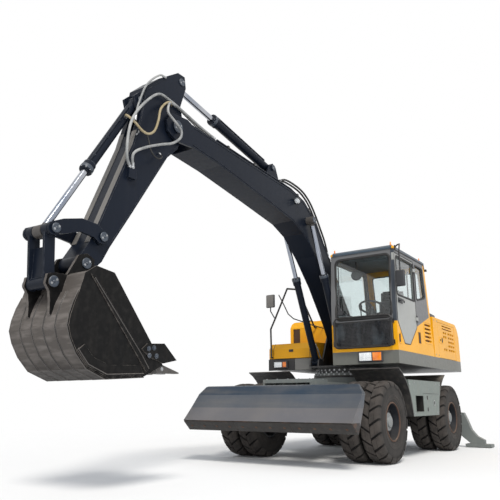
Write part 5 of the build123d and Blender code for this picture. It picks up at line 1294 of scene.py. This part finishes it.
ARM_FACE = [(-4.745, 4.262), (-4.925, 4.085), (-4.985, 3.688), (-5.075, 3.358), (-5.465, 2.395)]
for name, reach, radius, edges in (
        ("boom", 0.1752, 0.0055, ((BOOM_TOP, 0.024), (BOOM_BELLY, -0.026))),
        ("arm", 0.1252, 0.005, ((ARM_REAR, -0.020), (ARM_FACE, 0.020)))):
    shape = bmesh.new()
    for side in (-1, 1):
        for edge, gap in edges:
            add_bead(shape, on_face(BOOM_LINE + side * reach, [(y, z - gap) for y, z in edge]), radius)
    done(shape, name + "_welds", name, navy_paint, angle=80.0)
RAIL_LINE = [(-5.040, 3.540), (-5.090, 3.358), (-5.480, 2.380), (-5.556, 2.208)]
shape = bmesh.new()
for x0, x1 in ((BOOM_LINE - 0.124, BOOM_LINE - 0.060), (BOOM_LINE + 0.060, BOOM_LINE + 0.124)):
    rings = []
    for y, z in RAIL_LINE:
        rings.append([(x0, y + 0.002, z - 0.001), (x1, y + 0.002, z - 0.001), (x1, y - 0.006, z + 0.003),
                      (x0, y - 0.006, z + 0.003)])
    add_loft(shape, rings)
done(shape, "arm_rails", "arm", rail_grey, soften=0.001)
shape = bmesh.new()
PIPE_RUN = [(-0.560, 2.790), (-1.250, 3.550), (-1.526, 3.727), (-1.910, 3.816), (-3.200, 3.875),
            (-3.750, 3.9053)]
for start, end in zip(PIPE_RUN, PIPE_RUN[1:]):
    length = math.dist(start, end)
    lean = math.atan2(end[1] - start[1], -(end[0] - start[0]))
    for k in range(max(1, round(length / 0.65))):
        share = (k + 0.5) / max(1, round(length / 0.65))
        y = start[0] + (end[0] - start[0]) * share - 0.012 * math.sin(lean)
        z = start[1] + (end[1] - start[1]) * share
        off_y, off_z = math.sin(lean) * 0.046, math.cos(lean) * 0.046
        for x in (BOOM_LINE - 0.135, BOOM_LINE + 0.135):
            turn = Matrix.Translation((x, y + off_y, z + off_z)) @ Matrix.Rotation(-lean, 4, "X")
            add_box(shape, (-0.036, 0.036), (-0.020, 0.020), (-0.030, 0.006), turn)
done(shape, "pipe_clamps", "boom", latch_black, soften=0.002)


# Pins of boom, arm and bucket: turned steel pins with a dark slate end cap on either side, its rim lightened
# partly by wear and partly as a painted highlight, each cap held by two screws, with a grease nipple in its
# middle.
# The pale edge colour, mixed in strongly, is partly wear and partly a painted highlight on the cap rims.
slate_edge_wear_and_highlight = paint("slate_edge_wear_and_highlight", (0.034, 0.045, 0.062), edge=(0.40, 0.41, 0.43), wear=0.8, dust=0.10, gloss=0.40,
                 rounding=0.002)
PINS = (
    # name, body, y, z, distance of the cap from the middle, radius
    ("arm_pin", "boom", -4.475, 3.788, 0.1935, 0.074),
    ("arm_cylinder_eye", "arm", -4.362, 4.428, 0.1255, 0.046),
    ("arm_cylinder_base", "boom", -2.300, 4.060, 0.1025, 0.042),
    ("bucket_cylinder_base", "arm", -4.975, 3.925, 0.0955, 0.042),
    ("bucket_pin", "arm", -5.600, 1.987, 0.1605, 0.052),
    ("idler_pin", "arm", -5.445, 2.268, 0.1905, 0.046),
    ("link_pin", "idlers", -5.985, 2.222, 0.2005, 0.044),
    ("bucket_ear_pin", "bucket", -5.948, 1.762, 0.1785, 0.050),
    ("boom_cylinder_eye", "boom", -1.470, 3.450, 0.3035, 0.048),
    ("boom_foot", "upper", -0.060, 1.760, 0.2045, 0.066),
)
for name, body, y, z, reach, radius in PINS:
    shape = bmesh.new()
    places = []
    for side in (-1, 1):
        x = BOOM_LINE + side * reach
        add_turned(shape, [(0.0, radius), (0.008, radius), (0.012, radius - 0.005), (0.012, 0.016),
                           (0.010, 0.012), (0.018, 0.006), (0.018, 0.0)], (x, y, z), (side, 0, 0), 28)
        for angle in (0.6, 0.6 + math.pi):
            off = radius * 0.62
            places.append(((x + side * 0.012, y + off * math.cos(angle), z + off * math.sin(angle)),
                           (side, 0, 0)))
    done(shape, name + "_caps", body, slate_edge_wear_and_highlight, soften=0.0008)
    bolts(name + "_screws", body, places, 0.0075, 0.005, zinc)


# Work lamp: a black moulded housing on a short stay, welded to the boom's left side. Its clear lens faces
# down the arm to light the digging.
LAMP_CENTRE = (0.140, -1.840, 3.668)
LAMP_AIM = (0.05, -0.75, -0.66)
shape = bmesh.new()
add_box(shape, (0.0855, 0.1000), (-1.850, -1.770), (3.640, 3.700))
add_turned(shape, [(-0.050, 0.0), (-0.048, 0.030), (-0.020, 0.048), (0.018, 0.052), (0.018, 0.046),
                   (0.010, 0.044)], LAMP_CENTRE, LAMP_AIM, 28)
add_rod(shape, (0.090, -1.815, 3.672), (0.135, -1.822, 3.672), 0.010, 10)
done(shape, "boom_lamp", "boom", plastic_black, soften=0.0015, angle=50.0)
shape = bmesh.new()
add_turned(shape, [(0.008, 0.0455), (0.012, 0.0440), (0.019, 0.030), (0.021, 0.0)], LAMP_CENTRE, LAMP_AIM, 28)
done(shape, "boom_lamp_lens", "boom", lens, angle=50.0)


# Cylinders: hard chrome rods, bare and polished, tinted blue-grey with paler streaks as a painted reflection,
# and dull at their forged eyes. Each barrel has a bolted gland with two collars, and the arm's and the
# bucket's carry a hard oil pipe on three stays.
chrome = bpy.data.materials.new("chrome")
chrome.use_nodes = True
tree = chrome.node_tree
shader = tree.nodes["Principled BSDF"]
x, y, z = place_axes(tree)
on_eye = None
for eye_y, eye_z in ((-1.470, 3.450), (-4.362, 4.428), (-5.985, 2.222)):
    along = math_node(tree, "SUBTRACT", y, eye_y)
    above = math_node(tree, "SUBTRACT", z, eye_z)
    away = math_node(tree, "ADD", math_node(tree, "MULTIPLY", along, along),
                     math_node(tree, "MULTIPLY", above, above))
    here = math_node(tree, "LESS_THAN", away, 0.0072)
    on_eye = here if on_eye is None else math_node(tree, "MAXIMUM", on_eye, here)
# The rods' blue-grey tint and paler streaks are a painted reflection, not their own colour.
reflection_streaks = span(tree, noise(tree, 3.0, 3.0, (1, 1, 0.3)), 0.35, 0.65)
reflected_tint = mix_colour(tree, reflection_streaks, (0.26, 0.29, 0.35), (0.46, 0.47, 0.50))
tree.links.new(mix_colour(tree, on_eye, reflected_tint, (0.052, 0.046, 0.042)), shader.inputs["Base Color"])
tree.links.new(math_node(tree, "SUBTRACT", 1.0, on_eye), shader.inputs["Metallic"])
polish = span(tree, noise(tree, 40.0, 4.0), 0.3, 0.7, 0.12, 0.26)
rough = math_node(tree, "ADD", polish, math_node(tree, "MULTIPLY", on_eye, 0.35), True)
tree.links.new(rough, shader.inputs["Roughness"])
coat_node(chrome, "blade_rods", "boom_rods", "arm_rod", "bucket_rod", "outrigger_rod_left",
          "outrigger_rod_right")
for body, base, eye, radius in (("bucket_barrel", (-4.975, 3.925), (-5.566, 2.929), 0.052),
                                ("arm_barrel", (-2.300, 4.060), (-3.630, 4.297), 0.060)):
    start, end = Vector((BOOM_LINE, *base)), Vector((BOOM_LINE, *eye))
    way = (end - start).normalized()
    up = Vector((1, 0, 0)).cross(way).normalized()
    if up.z < 0:
        up = -up
    side = Vector((0.72, 0, 0)) + up * 0.69
    foot, head = start + way * 0.16, end - way * 0.05
    shape = bmesh.new()
    add_bead(shape, [foot + side * (radius - 0.004), foot + way * 0.02 + side * (radius + 0.009),
                     head - way * 0.02 + side * (radius + 0.009), head + side * (radius - 0.004)], 0.009, 8)
    for share in (0.25, 0.55, 0.85):
        spot = foot + (head - foot) * share
        add_rod(shape, spot + side * (radius - 0.003), spot + side * (radius + 0.012), 0.014, 8)
    done(shape, body + "_pipe", body, navy_paint, angle=60.0)
GLANDS = (
    # name, body, x, base pin, eye pin, share of the way, radius
    ("boom_gland_left", "boom_barrels", 0.155, (-0.500, 1.396), (-1.470, 3.450), 0.625, 0.054),
    ("boom_gland_right", "boom_barrels", -0.335, (-0.500, 1.396), (-1.470, 3.450), 0.625, 0.054),
    ("arm_gland", "arm_barrel", -0.090, (-2.300, 4.060), (-4.362, 4.428), 0.645, 0.060),
    ("bucket_gland", "bucket_barrel", -0.090, (-4.975, 3.925), (-5.985, 2.222), 0.585, 0.052),
)
for name, body, x, base, eye, share, radius in GLANDS:
    start, end = Vector((x, *base)), Vector((x, *eye))
    way = (end - start).normalized()
    head = start + (end - start) * share
    shape = bmesh.new()
    for low, high, swell in ((-0.105, -0.080, 0.010), (-0.052, -0.012, 0.016)):
        add_turned(shape, [(low, radius - 0.003), (low, radius + swell), (high, radius + swell),
                           (high, radius - 0.003)], head, way, 32, closed=True)
    done(shape, name, body, slate_edge_wear_and_highlight, soften=0.002)
    bolts(name + "_bolts", body, circle(head - way * 0.012, way, radius + 0.006, 8), 0.0065, 0.008, zinc)


# Hydraulic hoses: wire-braided rubber, pale grey or tan where a braided sleeve guards them, crimped into a
# ferrule with a hexagon at both ends and screwed to the pipes and cylinders.
hose_black = mottled("hose_black", (12.0, 5.0), 0.35, 0.7, (0.006, 0.006, 0.006), (0.022, 0.020, 0.018), 0.55)
hose_pale = mottled("hose_pale", (10.0, 6.0), 0.35, 0.7, (0.19, 0.195, 0.195), (0.33, 0.33, 0.32), 0.6)
hose_tan = mottled("hose_tan", (10.0, 6.0), 0.35, 0.7, (0.24, 0.19, 0.10), (0.36, 0.30, 0.19), 0.6)


def smooth(points, steps=7):
    """A curve through the points."""
    points = [Vector(p) for p in points]
    padded = [points[0] * 2 - points[1], *points, points[-1] * 2 - points[-2]]
    curve = []
    for before, start, end, after in zip(padded, padded[1:], padded[2:], padded[3:]):
        for k in range(steps):
            t = k / steps
            bend = 2 * before - 5 * start + 4 * end - after
            twist = 3 * start - before - 3 * end + after
            curve.append(0.5 * (2 * start + (end - before) * t + bend * t * t + twist * t ** 3))
    return curve + [points[-1]]


def hose(name, body, points, radius, material):
    """A hose along a curve, with a crimped ferrule and hexagon at each end."""
    path = smooth(points)
    shape = bmesh.new()
    add_bead(shape, path, radius, 12)
    done(shape, name, body, material, angle=70.0)
    shape = bmesh.new()
    for first, second in ((path[0], path[1]), (path[-1], path[-2])):
        way = (second - first).normalized()
        add_turned(shape, [(0.0, radius * 0.6), (0.0, radius * 1.35), (0.022, radius * 1.35),
                           (0.024, radius * 1.15), (0.060, radius * 1.15), (0.064, radius)], first, way, 6)
    done(shape, name + "_ends", body, zinc, soften=0.0008)


# The two bodies that a hose joins, and where it leaves the first and comes to rest on the second; these are
# handed on as the hose's body, and the hose rides on neither.
ELBOW = ("boom", "arm", (BOOM_LINE, -4.20, 3.96), (BOOM_LINE, -4.85, 3.72))
FOOT = ("upper", "boom", (BOOM_LINE, 0.30, 1.75), (BOOM_LINE, -0.30, 2.45))
HOSES = (
    ("arm_hose_outer", ELBOW, 0.0145, hose_pale, (
        (0.062, -3.745, 3.939), (0.062, -4.05, 3.985), (0.066, -4.36, 4.045), (0.075, -4.60, 4.075),
        (0.095, -4.784, 4.060), (0.125, -4.966, 3.910), (0.135, -5.140, 3.692), (0.133, -5.218, 3.520),
        (0.120, -5.238, 3.332), (0.095, -5.210, 3.170), (0.062, -5.130, 3.078))),
    ("arm_hose_inner", ELBOW, 0.0145, hose_pale, (
        (0.028, -3.745, 3.939), (0.028, -4.05, 3.985), (0.040, -4.38, 4.060), (0.085, -4.583, 4.045),
        (0.135, -4.675, 3.960), (0.150, -4.690, 3.858), (0.155, -4.577, 3.790), (0.150, -4.474, 3.735),
        (0.147, -4.476, 3.644), (0.142, -4.594, 3.534), (0.136, -4.779, 3.448), (0.130, -5.000, 3.331),
        (0.113, -5.140, 3.217), (0.065, -5.095, 3.080))),
    ("arm_hose_right", ELBOW, 0.013, hose_tan, (
        (-0.208, -3.745, 3.939), (-0.208, -4.05, 3.985), (-0.120, -4.36, 4.075), (0.070, -4.560, 4.050),
        (0.120, -4.695, 3.985), (0.135, -4.800, 3.855), (0.135, -4.826, 3.713), (0.135, -4.877, 3.572),
        (0.135, -4.964, 3.499), (0.135, -5.060, 3.500), (0.110, -5.150, 3.570), (0.045, -5.200, 3.640),
        (-0.030, -5.140, 3.660))),
    ("bucket_hose", "arm", 0.008, hose_black, (
        (0.040, -5.050, 3.480), (0.100, -5.060, 3.500), (0.128, -5.000, 3.495), (0.132, -4.955, 3.430),
        (0.132, -4.915, 3.330), (0.132, -4.840, 3.280), (0.130, -4.770, 3.290), (0.100, -4.715, 3.345),
        (0.046, -4.700, 3.400))),
    ("arm_return_hose", "arm", 0.011, hose_pale, (
        (0.040, -4.640, 4.352), (0.052, -4.740, 4.330), (0.052, -4.866, 4.215), (0.050, -4.960, 4.080),
        (0.045, -5.010, 3.940), (0.040, -5.052, 3.790), (0.036, -5.068, 3.640))),
)
for name, body, radius, material, route in HOSES:
    hose(name, body, route, radius, material)
BOOM_TOP_ARC = ((-2.040, 3.905), (-1.737, 3.905), (-1.507, 3.862), (-1.311, 3.760), (-1.150, 3.610),
                (-1.000, 3.430), (-0.850, 3.235))
for i, x in enumerate((-0.208, 0.028, 0.062)):
    arc = [(y, z + 0.020 * i) for y, z in BOOM_TOP_ARC]
    route = on_face(x, [(-2.240, 3.868), *arc, (-0.745, 3.060)])
    hose(f"boom_top_hose_{i + 1}", "boom", route, 0.0145, hose_black)
FOOT_ARC = (
    # share of the pipe's distance from the machine's middle, y, z
    (1.0, -0.605, 2.822), (1.0, -0.49, 2.742), (0.95, -0.24, 2.43), (0.9, 0.02, 2.13), (0.85, 0.20, 1.83),
    (0.8, 0.30, 1.58), (0.8, 0.34, 1.345),
)
for i, x in enumerate((-0.242, -0.208, 0.028, 0.062)):
    route = [(x * share, y, z) for share, y, z in FOOT_ARC]
    hose(f"foot_hose_{i + 1}", FOOT, route, 0.0145, hose_black)
for name, side in (("right", -1), ("left", 1)):
    x = BOOM_LINE + side * 0.245
    lift = ("upper", "boom_barrels", (x, -0.36, 1.40), (x, -0.50, 1.62))
    for number, out, rise, material in ((1, 0.030, 0.0, hose_pale), (2, -0.030, 0.03, hose_black)):
        route = [(x + out, -0.36 - rise, 1.345), (x + out, -0.37 - rise, 1.42 + rise),
                 (x + out, -0.46, 1.56 + rise), (x + out * 0.6, -0.535, 1.665 + rise),
                 (x + out * 0.5, -0.574, 1.642 + rise)]
        hose(f"lift_hose_{name}{number}", lift, route, 0.011, material)


# Bucket: bare-worn plate, its paint rubbed off to grey-brown steel by digging, with pale scratches on the
# back. Its side faces are painted near-black and its lower part darker, both as painted shade. Side cutters
# are bolted on with four plough bolts each, a tooth pin goes through every adapter, and worn weld beads run
# between the strips on its back.
bucket_paint = paint("bucket_paint", (0.045, 0.040, 0.038), edge=(0.22, 0.20, 0.18), wear=0.8, dust=0.05,
                     gloss=0.44, shine=0.1)
tree = bucket_paint.node_tree
x, y, z = place_axes(tree)
scratches = span(tree, noise(tree, 6.0, 9.0, (0.6, 3.0, 3.0)), 0.46, 0.68)
# Sideways faces get a near-black painted shade, and everything below z 1.02 to 1.16 a darker painted shade.
sideways = tree.nodes.new("ShaderNodeSeparateXYZ")
tree.links.new(tree.nodes.new("ShaderNodeNewGeometry").outputs["Normal"], sideways.inputs[0])
side_shade = span(tree, math_node(tree, "ABSOLUTE", sideways.outputs["X"]), 0.85, 0.95)
dark = mix_colour(tree, scratches, (0.0050, 0.0050, 0.0052), (0.0105, 0.0100, 0.0098))
scoured = mix_colour(tree, scratches, (0.082, 0.073, 0.067), (0.150, 0.135, 0.126))
lower = mix_colour(tree, scratches, (0.026, 0.022, 0.020), (0.060, 0.053, 0.048))
behind = mix_colour(tree, span(tree, z, 1.02, 1.16), lower, scoured)
recolour(bucket_paint, mix_colour(tree, side_shade, behind, dark))
coat_node(bucket_paint, "bucket")
wear_steel = paint("wear_steel", (0.050, 0.045, 0.042), edge=(0.30, 0.28, 0.25), wear=1.0, dust=0.2,
                   gloss=0.42)
coat_node(wear_steel, "bucket_teeth")
BUCKET_HALF = 0.395
CUTTER_BOLTS = ((-5.010, 1.256), (-4.942, 1.268), (-5.000, 1.194), (-4.905, 1.194))
places = [(point, (side, 0, 0)) for side in (-1, 1)
          for point in on_face(BOOM_LINE + side * (BUCKET_HALF + 0.012), CUTTER_BOLTS)]
bolts("cutter_bolts", "bucket", places, 0.017, 0.012, slate_edge_wear_and_highlight)
CUTTER_SEAM = ((-5.700, 1.810), (-5.095, 1.190), (-5.000, 1.075))
FLOOR_SEAM = ((-5.828, 1.200), (-5.712, 1.078), (-5.505, 1.004), (-5.065, 1.028))
STRIP_BACK = [(-5.042, 0.9945), (-5.505, 0.9635), (-5.717, 1.0415), (-5.833, 1.1585), (-5.907, 1.2775),
              (-5.943, 1.3800), (-5.931, 1.4730), (-5.897, 1.5840), (-5.850, 1.6860)]
STRIP_PITCH = 0.158
shape = bmesh.new()
for side in (-1, 1):
    x = BOOM_LINE + side * (BUCKET_HALF + 0.0125)
    add_bead(shape, on_face(x, CUTTER_SEAM), 0.005)
    add_bead(shape, on_face(x, FLOOR_SEAM), 0.005)
for i in range(5):
    middle = BOOM_LINE - BUCKET_HALF + (i + 0.5) * STRIP_PITCH
    for edge in (-0.071, 0.071):
        add_bead(shape, on_face(middle + edge, STRIP_BACK), 0.0045)
done(shape, "bucket_welds", "bucket", wear_steel, angle=80.0)
places = []
for i in range(5):
    x = BOOM_LINE - BUCKET_HALF + 0.045 + 0.70 * i / 4
    for side in (-1, 1):
        places.append(((x + side * 0.034, -4.800, 1.080), (side, 0, 0)))
bolts("tooth_pins", "bucket", places, 0.013, 0.007, zinc)
